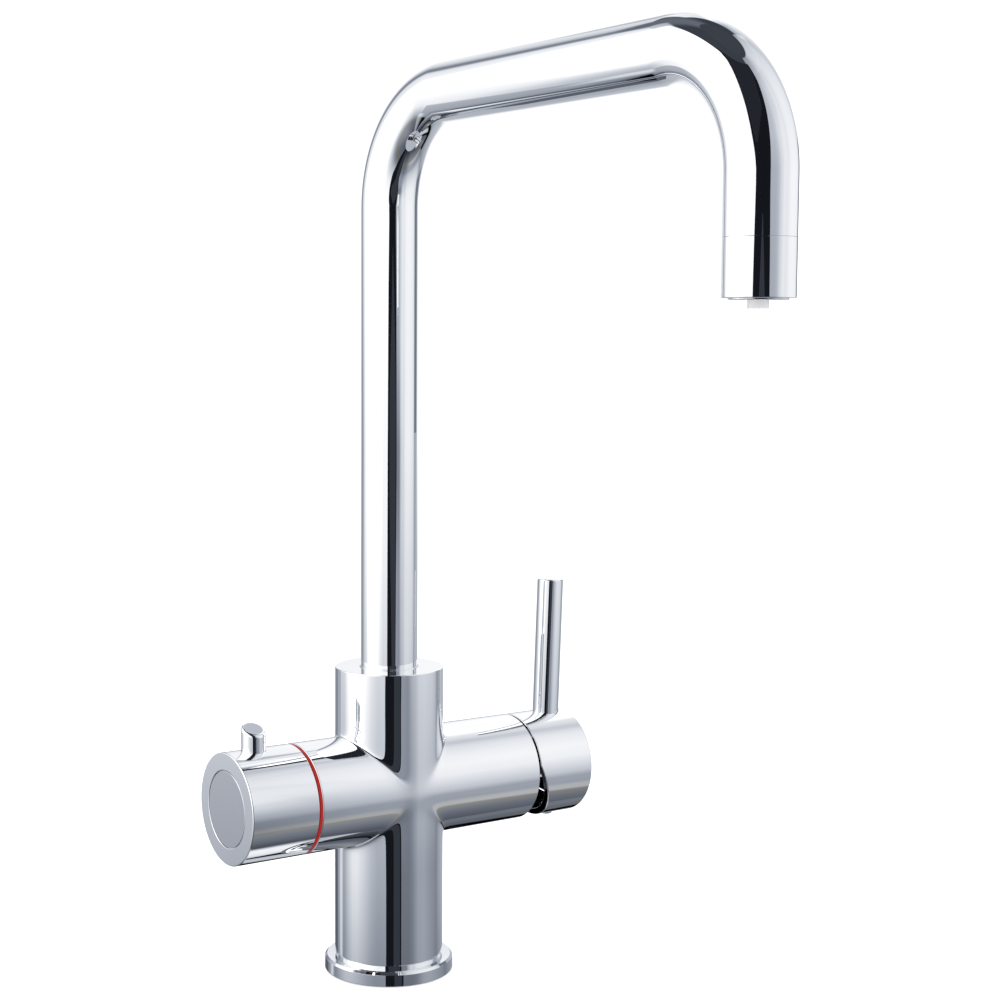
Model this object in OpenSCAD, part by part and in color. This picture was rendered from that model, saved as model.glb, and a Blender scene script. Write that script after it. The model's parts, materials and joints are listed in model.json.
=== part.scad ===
// Boiling water mixer tap: a cross shaped body with a swivel spout on top, the
// boiling water handle with its safety button on the left arm and the
// single lever mixer on the right arm.
// Origin: centre of the base's underside. +Z up, the arms lie along X,
// the spout points along -Y. Millimetres.

/* [Spout] */
// Outer diameter of the spout tube
tube_d = 25; // [23:0.5:26]
// Wall of the spout tube
tube_wall = 1.2; // [1:0.1:1.5]
// Height of the level run's centreline
spout_top = 381; // [340:1:420]
// Distance from the swivel axis to the outlet axis
spout_reach = 228; // [190:1:260]
// Centreline radius of both bends
bend_r = 45; // [36:1:52]
// Drop from the level run's centreline to the nozzle's lower face
outlet_drop = 86; // [80:1:120]
// Length of the nozzle sleeve
nozzle_len = 20; // [18:0.5:26]
// Depth that the nozzle adapter reaches into the tube
adapter_grip = 10; // [8:0.5:14]
// Outer diameter of the flow insert
insert_d = 20.2; // [19:0.1:20.6]
// Number of water jets in the flow insert
jet_count = 12; // [8:1:16]
// Diameter of a water jet
jet_d = 1.8; // [1.2:0.1:2.2]
// Outer diameter of the inner boiling water tube
boil_tube_d = 8; // [7:0.5:8.5]
// Wall of the inner boiling water tube
boil_tube_wall = 1; // [0.8:0.1:1.2]
// Diameter of the boiling water tip
tip_d = 7.2; // [6:0.1:7.6]
// Length of tip that shows below the nozzle
tip_drop = 3.5; // [2:0.1:6]

/* [Body] */
// Diameter of the column
body_d = 48; // [47:0.5:52]
// How much slimmer than the column both arms are
arm_step = 0.1; // [0.1:0.05:0.4]
// Height of the arms' axis
arm_z = 82.5; // [80:0.5:86]
// Height of the column's top face
collar_z = 136; // [133:0.5:142]
// Distance from the swivel axis to the left arm's end face
left_arm = 47.6; // [47:0.1:50]
// Distance from the swivel axis to the right arm's end face
right_arm = 66; // [66:0.1:68]
// Depth of the spout socket
socket_depth = 34; // [32:0.5:35]
// Depth of the foot groove above the flange
foot_groove = 1; // [0.3:0.1:1]
// Height of the foot groove above the flange
foot_groove_h = 1; // [0.8:0.1:5]
// Height of the hose recess in the underside
recess_h = 50; // [40:0.5:54]
// Wall round the hose recess
recess_wall = 2.5; // [2:0.1:3.5]
// Wall radius of a hose inlet thread
inlet_r = 4.5; // [4.2:0.1:4.8]
// Depth of a hose inlet thread
inlet_depth = 12; // [8:0.5:14]
// Wall radius of the fixing stud's thread
stud_r = 3.4; // [3.2:0.1:4.2]
// Depth of the fixing stud's thread
stud_depth = 16; // [10:0.5:18]
// Radius of the hot and cold water passages
passage_r = 3.5; // [3:0.1:3.6]

/* [Base] */
// Width of the base flange's rim round the column
flange_rim = 4.5; // [4.3:0.1:9]
// Height of the base flange
flange_h = 6; // [5:0.5:9]
// Width of the base gasket
gasket_w = 3; // [2:0.1:3.2]
// Thickness of the base gasket
gasket_t = 1.8; // [1.2:0.1:2.5]

/* [Boiling handle] */
// Length of the boiling handle
boil_len = 31.7; // [31:0.1:36]
// Wall of the boiling handle
boil_wall = 3.4; // [3.2:0.1:3.6]
// Width of the red index ring
index_w = 1.3; // [1:0.1:2]
// Diameter of the disc in the handle's end
disc_d = 33; // [28:0.5:35]
// Thickness of the disc in the handle's end
disc_t = 1.2; // [1:0.1:1.5]
// Diameter of the safety button
button_d = 10.4; // [9:0.1:10.4]
// Height of the button's centre above the handle
button_rise = 9.2; // [7:0.1:12]
// Slope of the button's top towards the front
button_slope = 22; // [10:1:26]
// Distance from the handle's end face to the button's axis
button_inset = 13; // [12.6:0.1:13.2]
// Travel of the safety button
button_travel = 4; // [3:0.1:4.2]
// Quarter turn of the boiling handle
boil_turn = 90; // [60:1:100]

/* [Mixer handle] */
// Running gap between the right arm and the mixer handle
mixer_gap = 1; // [0.4:0.1:1.2]
// Length of the mixer handle
mixer_len = 29; // [29:0.1:33]
// Wall of the mixer handle
mixer_wall = 3; // [2.6:0.1:3.2]
// Tilt of the mixer lever, which is also the angle of the wedge
mixer_tilt = 20; // [14:1:22]
// Height of the wedge's tip above the arms' axis
wedge_tip = 4.5; // [3:0.1:6]
// Diameter of the lever pin
lever_d = 12.1; // [10:0.1:12.6]
// Length of the lever pin above the handle
lever_len = 62; // [40:1:90]
// Lean of the lever pin away from the column
lever_lean = 2; // [0:0.5:4]
// Distance from the handle's end face to the lever pin's axis
lever_inset = 9.3; // [9:0.1:9.8]
// Diameter of the index plug under the handle
plug_d = 5.8; // [5:0.1:6]

/* [Cartridge] */
// Diameter of the mixer cartridge
cartridge_d = 35; // [34:0.1:35.4]
// Distance from the swivel axis to the cartridge's seat
seat_x = 26; // [25.5:0.1:26.2]
// Distance from the cartridge's seat to the lever's pivot
pivot_depth = 29; // [28.9:0.1:29.4]
// Distance from the pivot to the lever's ball
ball_arm = 14.4; // [14:0.1:14.6]
// Radius of the lever's ball
ball_r = 1.9; // [1.6:0.1:2]
// Radius of the ports in the ceramic discs
port_r = 2.8; // [2.4:0.1:3]

/* [Clearances] */
// Radial clearance of a running fit
run_gap = 0.05; // [0.03:0.01:0.08]
// Clearance between pieces that are seated on each other
seat_gap = 0.03; // [0.02:0.01:0.05]
// Play between the lever's ball and its socket
ball_play = 0.2; // [0.15:0.01:0.25]

/* [Hidden] */
$fn = 96;

// Colours
chrome = [0.86, 0.87, 0.89];
brass = [0.78, 0.62, 0.32];
steel = [0.66, 0.67, 0.69];
ceramic = [0.93, 0.92, 0.88];
nylon = [0.88, 0.89, 0.87];
rubber = [0.12, 0.12, 0.13];
black = [0.06, 0.06, 0.07];
red = [0.72, 0.07, 0.05];
white = [0.94, 0.94, 0.94];

// Overlap of a cutter past the face that it opens
past = 1;
// Chamfer on the outer edges of turned pieces
edge = 0.4;
body_r = body_d / 2;
arm_r = (body_d - arm_step) / 2;
tube_r = tube_d / 2;
tube_in_r = tube_r - tube_wall;
boil_tube_r = boil_tube_d / 2;

// Spout line
outlet_z = spout_top - outlet_drop;
rise_z = spout_top - bend_r;
run_end = spout_reach - bend_r;

// Spout socket and what turns in it
socket_r = tube_r + 0.6;
socket_z = collar_z - socket_depth;
top_ring_h = 4;
top_ring_rim = 0.4;
bearing_h = 2;
spigot_z = socket_z + bearing_h + seat_gap;
spigot_h = 22;
tube_foot_z = spigot_z + spigot_h;
spigot_r = socket_r - 0.1;
spigot_grip = 16;
spigot_bore_r = 8.5;
o_ring_t = 1;
o_ring_offset = [5, 17];
lock_groove_offset = 10.5;
lock_groove_z = spigot_z + lock_groove_offset;
lock_groove_h = 4.6;
lock_groove_r = spigot_r - 2.4;
lock_screw_r = 2.5;
lock_tip_r = 1.8;
lock_key_r = 1.4;
lock_key_h = 3;

// Boiling water riser in the body
riser_r = boil_tube_r + run_gap;
riser_seal_t = 1;
riser_seal_r = boil_tube_r + riser_seal_t;
riser_seal_h = 2.2;
boil_out_z = arm_z + 8.6;
boil_out_r = 2.3;
boil_tube_foot_z = boil_out_z + boil_out_r + 1.6;

// Riser of the mixed water and places of the hot and cold inlets
mix_riser_r = 3.2;
mix_riser_x = riser_seal_r + mix_riser_r + 0.8;
mixer_inlet_x = 7;
cross_r = passage_r - 0.3;

// Foot of the column
foot_r = body_r - foot_groove;
foot_spigot_r = body_r - 1.5;
recess_r = foot_spigot_r - recess_wall;
gasket_in_r = foot_spigot_r + 1.5;
flange_r = body_r + flange_rim;
flange_edge = 1;

// Nozzle
nozzle_top = outlet_z + nozzle_len;
sleeve_in_r = tube_r - 1.9;
lip_h = 2;
insert_r = insert_d / 2;
insert_proud = 0.5;
insert_flange_r = sleeve_in_r - 0.2;
insert_top = outlet_z + 6;
washer_t = 1;
washer_z = insert_top + seat_gap;
adapter_z = washer_z + washer_t + seat_gap;
tip_r = tip_d / 2;
tip_head_r = boil_tube_r + 1.2;
tip_head_z = outlet_z + 3;
tip_head_h = 10;
tip_bore_r = tip_r - 1.6;
tip_socket_z = tip_head_z + 2;
nozzle_way_r = tip_head_r + 1.5;
jet_pitch_r = (tip_head_r + insert_r) / 2;

// Boiling water valve, along the left arm
valve_seat = 22;
valve_bore_r = 11;
left_spigot_h = 2.9;
left_spigot_r = body_r - 4;
valve_mouth = left_arm + left_spigot_h;
valve_in_r = 4;
valve_seal_in_r = valve_in_r + 1;
feed_x = 13.5;
valve_seal_t = 2;
valve_disc_r = 8.2;
valve_disc_t = 2.5;
fixed_disc_s = valve_seat + valve_seal_t + 2 * seat_gap;
moving_disc_s = fixed_disc_s + valve_disc_t + seat_gap;
driver_s = moving_disc_s + valve_disc_t + seat_gap;
driver_t = 2.5;
valve_thread_s = driver_s + driver_t + 2;
spindle_r = 4;
stop_ring_t = 1.5;
stop_rim_s = valve_mouth + seat_gap + stop_ring_t;
stop_rim_h = 6;
stop_rim_r = left_spigot_r - 0.4;
stop_rim_in_r = stop_rim_r - 2.6;
stop_hole_r = valve_bore_r + 1.5;
hex_r = stop_hole_r + 2.5;
hex_h = 2.9;
valve_neck_r = 8;
valve_neck_s = stop_rim_s + seat_gap + hex_h;
valve_end = valve_neck_s + 5.5;
spindle_seal_s = valve_thread_s + 6;
port_span = 70;
valve_port_r = valve_disc_r - 2.2;
valve_port_in_r = 1.6;

// Boiling handle, along the left arm
index_r = arm_r - 0.2;
index_s = left_arm + seat_gap;
boil_start = index_s + index_w + 0.35;
boil_end = boil_start + boil_len;
boil_cavity_r = body_r - boil_wall;
boil_end_wall = 4.5;
boil_hub_s = valve_end + 0.5;
boil_hub_r = 8;
disc_r = disc_d / 2 - 0.2;
disc_seat_s = boil_end - disc_t - 0.1;
spindle_end = boil_end - boil_end_wall - 2.5;
handle_screw_r = 2;
handle_screw_head_r = 3.5;
handle_screw_head_h = 2;
handle_key_r = 1.5;
handle_key_h = 1.3;

// Safety button, its latch and its spring; heights are above the arms' axis
button_s = boil_end - button_inset;
button_r = button_d / 2;
button_hole_r = button_r + run_gap;
guide_r = button_hole_r + 1.9;
button_top = body_r + button_rise;
latch_top = stop_rim_r + 0.4;
latch_t = 2;
latch_w = 3;
latch_z = latch_top - latch_t;
latch_play = 0.15;
button_foot = latch_z - 1.5;
spring_foot = 7;
latch_start = stop_rim_s + stop_rim_h - 2.5;
latch_end = button_s + button_r - 0.6;
spring_wire_r = 0.35;
spring_r = 4.1;
spring_turns = 6;
spring_steps = 12;
spring_sides = 6;
stop_margin = asin((latch_w / 2 + 0.4) / stop_rim_in_r);

// Mixer cartridge, along the right arm
cartridge_r = cartridge_d / 2;
cartridge_bore_r = cartridge_r + 0.1;
mouth_wall = 4.75;
mouth_r = arm_r - mouth_wall;
ports_low = 4;
ports_side = 9.5;
port_high = 9;
base_start = seat_x + 0.3;
base_t = 4.7;
base_seal_r = 4.7;
base_seal_in_r = 3.2;
base_seal_t = 1.4;
base_seal_end = base_start + base_seal_t - 0.2;
plate_s = base_start + base_t + seat_gap;
plate_t = 3.5;
plate_r = cartridge_r - 2.3;
slide_disc_s = plate_s + plate_t + seat_gap;
slide_disc_t = 3.4;
slide_disc_r = 11.8;
slider_s = slide_disc_s + slide_disc_t + seat_gap;
slider_t = 3.4;
slider_r = 12.2;
pivot_x = seat_x + pivot_depth;
ball_x = pivot_x - ball_arm;
slide_travel = ball_arm * mixer_tilt * PI / 180;
slide_rest = -slide_travel / 2;
housing_in_r = cartridge_r - 2.1;
rotor_s = slider_s + slider_t + 0.3;
rotor_r = housing_in_r - 0.1;
rotor_neck_s = pivot_x - 1.6;
rotor_neck_r = 10.8;
rotor_end = pivot_x + 5;
housing_wall_s = rotor_neck_s + 0.2;
housing_end = pivot_x + 2;
stem_half_w = 4.2;
stem_half_t = 3;
stem_s = ball_x + 2;
stem_shank_s = pivot_x + 3;
slot_half_w = stem_half_w + 0.1;
stem_r = 4.2;
stem_swing = (pivot_x - stem_s) * sin(mixer_tilt) + stem_half_t * cos(mixer_tilt);
shank_swing = (rotor_end - pivot_x) * tan(mixer_tilt) + stem_r / cos(mixer_tilt);
pivot_pin_r = 1.5;
pivot_pin_half = rotor_neck_r - 0.6;
nut_s = housing_end + seat_gap;
nut_flange_t = 4;
nut_bore_r = 13.6;
nut_hex_r = cartridge_r + 0.1;
nut_hex_h = 4;
shroud_s = nut_s + nut_flange_t + seat_gap;
shroud_in_r = nut_hex_r + 0.3;
shroud_out_r = mouth_r - 0.1;
shroud_tip = right_arm + 5;
shroud_wall = 1.6;
shroud_bore_r = nut_bore_r - 1;
shroud_flat_r = shroud_out_r - 4;

// Mixer handle, along the right arm
mixer_start = right_arm + mixer_gap;
mixer_end = mixer_start + mixer_len;
mixer_cavity_r = body_r - mixer_wall;
mixer_end_wall = 4;
hub_r = 8;
hub_len = 13;
hub_s = mixer_end - mixer_end_wall - hub_len;
stem_end = mixer_end - 6;
lever_r = lever_d / 2;
lever_lean_shift = body_r * tan(lever_lean);
lever_x = mixer_end - lever_inset;
lever_seat = 18;
lever_spigot_r = 4;
lever_spigot_foot = 9.5;
post_r = lever_r + 2.2;
post_top = body_r - 2.5;
stem_bore_s = min(hub_s, lever_x - post_r - lever_lean_shift) - past;
plug_r = plug_d / 2;
plug_x = lever_x + 0.8;
plug_proud = 1.2;
grub_r = 2.4;
grub_h = 3.6;
grub_key_r = 1.4;
grub_key_h = 1.6;

// Frames: local +Z runs out along an arm. On the left arm local +X is up.
module on_left() {
    translate([0, 0, arm_z]) rotate([0, -90, 0]) children();
}

module on_right() {
    translate([0, 0, arm_z]) rotate([0, 90, 0]) children();
}

// Cylinder from one height to another
module rod(r, from, to) {
    translate([0, 0, from]) cylinder(r = r, h = to - from);
}

// Ring from one height to another
module ring(r_out, r_in, from, to) {
    difference() {
        rod(r_out, from, to);
        rod(r_in, from - past, to + past);
    }
}

// Sector of a ring, seen along +Z
module ring_sector(r_out, r_in, from, to, start, span) {
    translate([0, 0, from]) rotate([0, 0, start])
        rotate_extrude(angle = span)
            translate([r_in, 0]) square([r_out - r_in, to - from]);
}

// Vertical passage at a place on the plan
module drop(x, y, r, from, to) {
    translate([x, y, 0]) rod(r, from, to);
}

// Level passage along X
module level(y, z, r, from, to) {
    translate([from, y, z]) rotate([0, 90, 0]) cylinder(r = r, h = to - from);
}

// Elbow of a round bar in the YZ plane, round the origin
module elbow(r, start) {
    rotate([90, 0, 90]) rotate([0, 0, start])
        rotate_extrude(angle = 90) translate([bend_r, 0]) circle(r = r);
}

// Round bar along the whole spout line
module spout_line(r, foot, outlet) {
    rod(r, foot, rise_z);
    translate([0, -bend_r, rise_z]) elbow(r, 0);
    translate([0, -bend_r, spout_top]) rotate([90, 0, 0]) cylinder(r = r, h = run_end - bend_r);
    translate([0, -run_end, rise_z]) elbow(r, 90);
    translate([0, -spout_reach, 0]) rod(r, outlet, rise_z);
}

// Body: a column and two arms of one diameter, with its waterways
module column_blank() {
    rotate_extrude() polygon([
        [0, 0], [foot_spigot_r, 0], [foot_spigot_r, flange_h + seat_gap],
        [foot_r, flange_h + seat_gap], [foot_r, flange_h + foot_groove_h],
        [body_r, flange_h + foot_groove_h], [body_r, collar_z - edge],
        [body_r - edge, collar_z], [0, collar_z]
    ]);
}

module arms_blank() {
    on_right() rotate_extrude() polygon([
        [0, -valve_mouth], [left_spigot_r, -valve_mouth], [left_spigot_r, -left_arm],
        [arm_r - edge, -left_arm], [arm_r, -left_arm + edge],
        [arm_r, right_arm - edge], [arm_r - edge, right_arm], [0, right_arm]
    ]);
}

module spout_socket() {
    rod(socket_r, socket_z, collar_z + past);
    rod(riser_seal_r, socket_z - riser_seal_h, socket_z + past);
    rod(riser_r, boil_out_z - boil_out_r - 1, socket_z);
    translate([0, 0, lock_groove_z]) rotate([-90, 0, 0])
        rod(lock_screw_r + run_gap, socket_r - past, body_r + past);
}

module boiling_waterway() {
    on_left() rod(valve_bore_r, valve_seat, valve_mouth + past);
    on_left() rod(valve_in_r, feed_x - valve_in_r, valve_seat + past);
    drop(-feed_x, 0, inlet_r, recess_h - past, recess_h + inlet_depth);
    drop(-feed_x, 0, valve_in_r - 0.6, recess_h, arm_z);
    level(0, boil_out_z, boil_out_r, -valve_seat - past, 0);
}

module mixer_waterways() {
    on_right() rod(cartridge_bore_r, seat_x, right_arm + past);
    on_right() rod(mouth_r, housing_end, right_arm + past);
    for (side = [-1, 1]) {
        drop(mixer_inlet_x, side * ports_side, inlet_r, recess_h - past, recess_h + inlet_depth);
        drop(mixer_inlet_x, side * ports_side, passage_r, recess_h, arm_z - ports_low + passage_r);
        level(side * ports_side, arm_z - ports_low, cross_r, mixer_inlet_x, seat_x + past);
    }
    drop(mix_riser_x, 0, mix_riser_r, arm_z + port_high - mix_riser_r, socket_z + past);
    level(0, arm_z + port_high, mix_riser_r - 0.3, mix_riser_x, seat_x + past);
}

module body_casting() {
    color(chrome) difference() {
        union() {
            column_blank();
            arms_blank();
        }
        rod(recess_r, -past, recess_h);
        rod(stud_r, recess_h - past, recess_h + stud_depth);
        spout_socket();
        boiling_waterway();
        mixer_waterways();
    }
}

module base_flange() {
    color(chrome) rotate_extrude() polygon([
        [foot_spigot_r + seat_gap, 0], [gasket_in_r, 0], [gasket_in_r, gasket_t],
        [gasket_in_r + gasket_w, gasket_t], [gasket_in_r + gasket_w, 0], [flange_r, 0],
        [flange_r, flange_h - flange_edge], [flange_r - flange_edge, flange_h],
        [foot_spigot_r + seat_gap, flange_h]
    ]);
}

module base_gasket() {
    color(rubber)
        ring(gasket_in_r + gasket_w - seat_gap, gasket_in_r + seat_gap, 0, gasket_t - seat_gap);
}

// Spout bearings, seals and retaining screw, fixed in the body
module spout_top_ring() {
    color(chrome)
        ring(socket_r - seat_gap, tube_r + 2 * run_gap, collar_z - top_ring_h, collar_z + top_ring_rim);
}

module spout_lower_bearing() {
    color(nylon)
        ring(socket_r - seat_gap, socket_r - 2.6, socket_z + seat_gap, socket_z + bearing_h);
}

module boil_tube_seal() {
    color(rubber) translate([0, 0, socket_z - riser_seal_h / 2])
        rotate_extrude() translate([boil_tube_r + riser_seal_t / 2, 0])
            circle(r = riser_seal_t / 2 - run_gap);
}

module spout_retaining_screw() {
    color(steel) translate([0, 0, lock_groove_z]) rotate([-90, 0, 0]) difference() {
        union() {
            rod(lock_tip_r, lock_groove_r + 0.4, socket_r + past);
            rod(lock_screw_r, socket_r + 0.3, body_r - 0.8);
        }
        translate([0, 0, body_r - lock_key_h]) cylinder(r = lock_key_r, h = lock_key_h, $fn = 6);
    }
}

// Boiling water valve
module index_ring() {
    color(red) on_left() ring(index_r, left_spigot_r + seat_gap, index_s, index_s + index_w);
}

module boil_valve_seal() {
    color(rubber) on_left()
        ring(valve_disc_r - 0.3, valve_seal_in_r, valve_seat + seat_gap, valve_seat + valve_seal_t);
}

module valve_ports(from, to) {
    for (start = [-port_span / 2, 180 - port_span / 2])
        ring_sector(valve_port_r, valve_port_in_r, from - past, to + past, start, port_span);
}

module boil_fixed_disc() {
    color(ceramic) on_left() difference() {
        rod(valve_disc_r, fixed_disc_s, fixed_disc_s + valve_disc_t);
        valve_ports(fixed_disc_s, fixed_disc_s + valve_disc_t);
    }
}

module boil_valve_housing() {
    color(brass) on_left() difference() {
        union() {
            rod(valve_bore_r - 1.1, fixed_disc_s, valve_thread_s);
            rod(valve_bore_r - 0.1, valve_thread_s, valve_mouth + seat_gap);
            rod(stop_hole_r - 0.2, valve_mouth + seat_gap, stop_rim_s + seat_gap);
            translate([0, 0, stop_rim_s + seat_gap]) cylinder(r = hex_r, h = hex_h, $fn = 6);
            rod(valve_neck_r, valve_neck_s, valve_end);
        }
        rod(valve_disc_r + 0.1, fixed_disc_s - past, driver_s + driver_t + 0.3);
        rod(spindle_r + run_gap, driver_s, valve_end + past);
        for (side = [-1, 1])
            translate([0, 0, moving_disc_s + valve_disc_t / 2]) rotate([side * 90, 0, 0])
                cylinder(r = 2.2, h = valve_bore_r);
    }
}

// Ring whose slot stops the latch at both ends of the quarter turn
module boil_stop_ring() {
    color(steel) on_left() difference() {
        union() {
            ring(stop_rim_r, stop_hole_r, valve_mouth + seat_gap, stop_rim_s);
            ring(stop_rim_r, stop_rim_in_r, stop_rim_s, stop_rim_s + stop_rim_h);
        }
        ring_sector(
            stop_rim_r + past, stop_rim_in_r - past, stop_rim_s + 1.5,
            stop_rim_s + stop_rim_h + past, -boil_turn - stop_margin, boil_turn + 2 * stop_margin
        );
    }
}

// Mixer cartridge, its nut and its shroud
module port_places() {
    for (side = [-1, 1])
        translate([ports_low, side * ports_side, 0]) children();
    translate([-port_high, 0, 0]) children();
}

module cartridge_base() {
    color(white) on_right() difference() {
        rod(cartridge_r, base_start, base_start + base_t);
        port_places() rod(port_r, base_start - past, base_start + base_t + past);
        port_places() rod(base_seal_r + seat_gap, base_start - past, base_seal_end);
    }
}

module cartridge_base_seals() {
    color(rubber) on_right() port_places()
        ring(base_seal_r, base_seal_in_r, seat_x + seat_gap, base_seal_end - seat_gap);
}

module cartridge_fixed_disc() {
    color(ceramic) on_right() difference() {
        rod(plate_r, plate_s, plate_s + plate_t);
        port_places() rod(port_r, plate_s - past, plate_s + plate_t + past);
    }
}

module cartridge_housing() {
    color(nylon) on_right() difference() {
        rod(cartridge_r, plate_s, housing_end);
        rod(housing_in_r, plate_s - past, housing_wall_s);
        rod(rotor_neck_r + 0.1, housing_wall_s - past, housing_end + past);
    }
}

module cartridge_nut() {
    color(brass) on_right() difference() {
        union() {
            rod(mouth_r - 0.1, nut_s, nut_s + nut_flange_t);
            translate([0, 0, nut_s + nut_flange_t]) cylinder(r = nut_hex_r, h = nut_hex_h, $fn = 6);
        }
        rod(nut_bore_r, nut_s - past, nut_s + nut_flange_t + nut_hex_h + past);
    }
}

module cartridge_shroud() {
    color(black) on_right() rotate_extrude() polygon([
        [shroud_in_r, shroud_s], [shroud_out_r, shroud_s], [shroud_out_r, right_arm + 1],
        [shroud_out_r - 1.2, right_arm + 3], [shroud_flat_r, shroud_tip],
        [shroud_bore_r, shroud_tip], [shroud_bore_r, shroud_tip - shroud_wall],
        [shroud_flat_r - 1, shroud_tip - shroud_wall], [shroud_in_r, right_arm + 1]
    ]);
}

// Spout
module spout_tube() {
    color(chrome) difference() {
        spout_line(tube_r, tube_foot_z, nozzle_top + seat_gap);
        spout_line(tube_in_r, tube_foot_z - past, nozzle_top - past);
    }
}

module spout_spigot() {
    color(brass) difference() {
        union() {
            rod(spigot_r, spigot_z, tube_foot_z - seat_gap);
            rod(tube_in_r - seat_gap, tube_foot_z - past, tube_foot_z + spigot_grip);
        }
        rod(spigot_bore_r, spigot_z - past, tube_foot_z + spigot_grip + past);
        ring(spigot_r + past, lock_groove_r, lock_groove_z - lock_groove_h / 2,
             lock_groove_z + lock_groove_h / 2);
        for (offset = o_ring_offset)
            ring(spigot_r + past, socket_r - 2 * o_ring_t - run_gap, spigot_z + offset - o_ring_t - 0.1,
                 spigot_z + offset + o_ring_t + 0.1);
    }
}

module spout_o_rings() {
    color(rubber) for (offset = o_ring_offset)
        translate([0, 0, spigot_z + offset])
            rotate_extrude() translate([socket_r - o_ring_t, 0]) circle(r = o_ring_t - run_gap);
}

module boil_inner_tube() {
    color(nylon) difference() {
        spout_line(boil_tube_r, boil_tube_foot_z, tip_socket_z + seat_gap);
        spout_line(boil_tube_r - boil_tube_wall, boil_tube_foot_z - past, tip_socket_z - past);
    }
}

// Nozzle, at the outlet's axis
module at_outlet() {
    translate([0, -spout_reach, 0]) children();
}

module nozzle_adapter() {
    color(brass) at_outlet() difference() {
        union() {
            rod(sleeve_in_r - 0.1, adapter_z, nozzle_top);
            rod(tube_in_r - seat_gap, nozzle_top, nozzle_top + adapter_grip);
        }
        rod(nozzle_way_r, adapter_z - past, nozzle_top + adapter_grip + past);
    }
}

module nozzle_sleeve() {
    color(chrome) at_outlet() rotate_extrude() polygon([
        [insert_r + run_gap, outlet_z], [tube_r - edge, outlet_z], [tube_r, outlet_z + edge],
        [tube_r, nozzle_top], [sleeve_in_r, nozzle_top], [sleeve_in_r, outlet_z + lip_h],
        [insert_r + run_gap, outlet_z + lip_h]
    ]);
}

module nozzle_washer() {
    color(rubber) at_outlet()
        ring(insert_flange_r, nozzle_way_r, washer_z, washer_z + washer_t);
}

module flow_insert() {
    color(steel) at_outlet() difference() {
        union() {
            rod(insert_r, outlet_z - insert_proud, outlet_z + lip_h + seat_gap);
            rod(insert_flange_r, outlet_z + lip_h + seat_gap, insert_top);
        }
        rod(tip_r + seat_gap, outlet_z - insert_proud - past, insert_top + past);
        rod(tip_head_r + seat_gap, tip_head_z - seat_gap, insert_top + past);
        for (turn = [0 : 360 / jet_count : 359])
            rotate([0, 0, turn]) translate([jet_pitch_r, 0, 0])
                rod(jet_d / 2, outlet_z - insert_proud - past, insert_top + past);
    }
}

module boil_tip() {
    color(white) at_outlet() difference() {
        union() {
            rod(tip_r, outlet_z - tip_drop, tip_head_z);
            rod(tip_head_r, tip_head_z, tip_head_z + tip_head_h);
        }
        rod(tip_bore_r, outlet_z - tip_drop - past, tip_socket_z + past);
        rod(boil_tube_r + seat_gap, tip_socket_z, tip_head_z + tip_head_h + past);
    }
}

// Boiling handle
module boil_handle_shell() {
    color(chrome) on_left() difference() {
        union() {
            difference() {
                rotate_extrude() polygon([
                    [0, boil_start], [body_r - edge, boil_start], [body_r, boil_start + edge],
                    [body_r, boil_end - edge], [body_r - edge, boil_end], [0, boil_end]
                ]);
                rod(boil_cavity_r, boil_start - past, boil_end - boil_end_wall);
            }
            rod(boil_hub_r, boil_hub_s, boil_end - boil_end_wall + past);
            translate([0, 0, button_s]) rotate([0, 90, 0]) rod(guide_r, 0, boil_cavity_r + past);
        }
        rod(disc_r + 0.25, disc_seat_s, boil_end + past);
        rod(spindle_r + seat_gap, boil_hub_s - past, spindle_end + 0.3);
        rod(handle_screw_r + 0.1, spindle_end, boil_end);
        rod(handle_screw_head_r + 0.1, disc_seat_s - handle_screw_head_h - 0.1, boil_end);
        translate([0, 0, button_s]) rotate([0, 90, 0]) rod(button_hole_r, spring_foot, body_r + past);
        translate([latch_z - button_travel - 2 * latch_play, -latch_w / 2 - latch_play, latch_start])
            cube([
                latch_t + button_travel + 4 * latch_play, latch_w + 2 * latch_play,
                button_s - latch_start
            ]);
    }
}

module boil_handle_disc() {
    color(chrome) on_left() rod(disc_r, disc_seat_s + seat_gap, disc_seat_s + disc_t);
}

module boil_spindle() {
    color(brass) on_left() difference() {
        union() {
            rod(valve_disc_r - 0.3, driver_s, driver_s + driver_t);
            rod(spindle_r, driver_s, spindle_end);
        }
        ring(spindle_r + past, spindle_r - 1, spindle_seal_s - 0.8, spindle_seal_s + 0.8);
        rod(handle_screw_r + seat_gap, spindle_end - 8, spindle_end + past);
    }
}

module boil_spindle_o_ring() {
    color(rubber) on_left() translate([0, 0, spindle_seal_s])
        rotate_extrude() translate([spindle_r - 0.45, 0]) circle(r = 0.48);
}

module boil_moving_disc() {
    color(ceramic) on_left() difference() {
        rod(valve_disc_r - 0.1, moving_disc_s, moving_disc_s + valve_disc_t);
        rotate([0, 0, 90]) valve_ports(moving_disc_s, moving_disc_s + valve_disc_t);
    }
}

module boil_handle_screw() {
    color(steel) on_left() difference() {
        union() {
            rod(handle_screw_r, spindle_end - 7.5, disc_seat_s - handle_screw_head_h);
            rod(handle_screw_head_r, disc_seat_s - handle_screw_head_h, disc_seat_s - seat_gap);
        }
        translate([0, 0, disc_seat_s - handle_key_h])
            cylinder(r = handle_key_r, h = handle_key_h + past, $fn = 6);
    }
}

// Safety button: pressed, it draws its latch in from the stop ring
module on_button() {
    translate([-button_s, 0, arm_z]) children();
}

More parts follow.
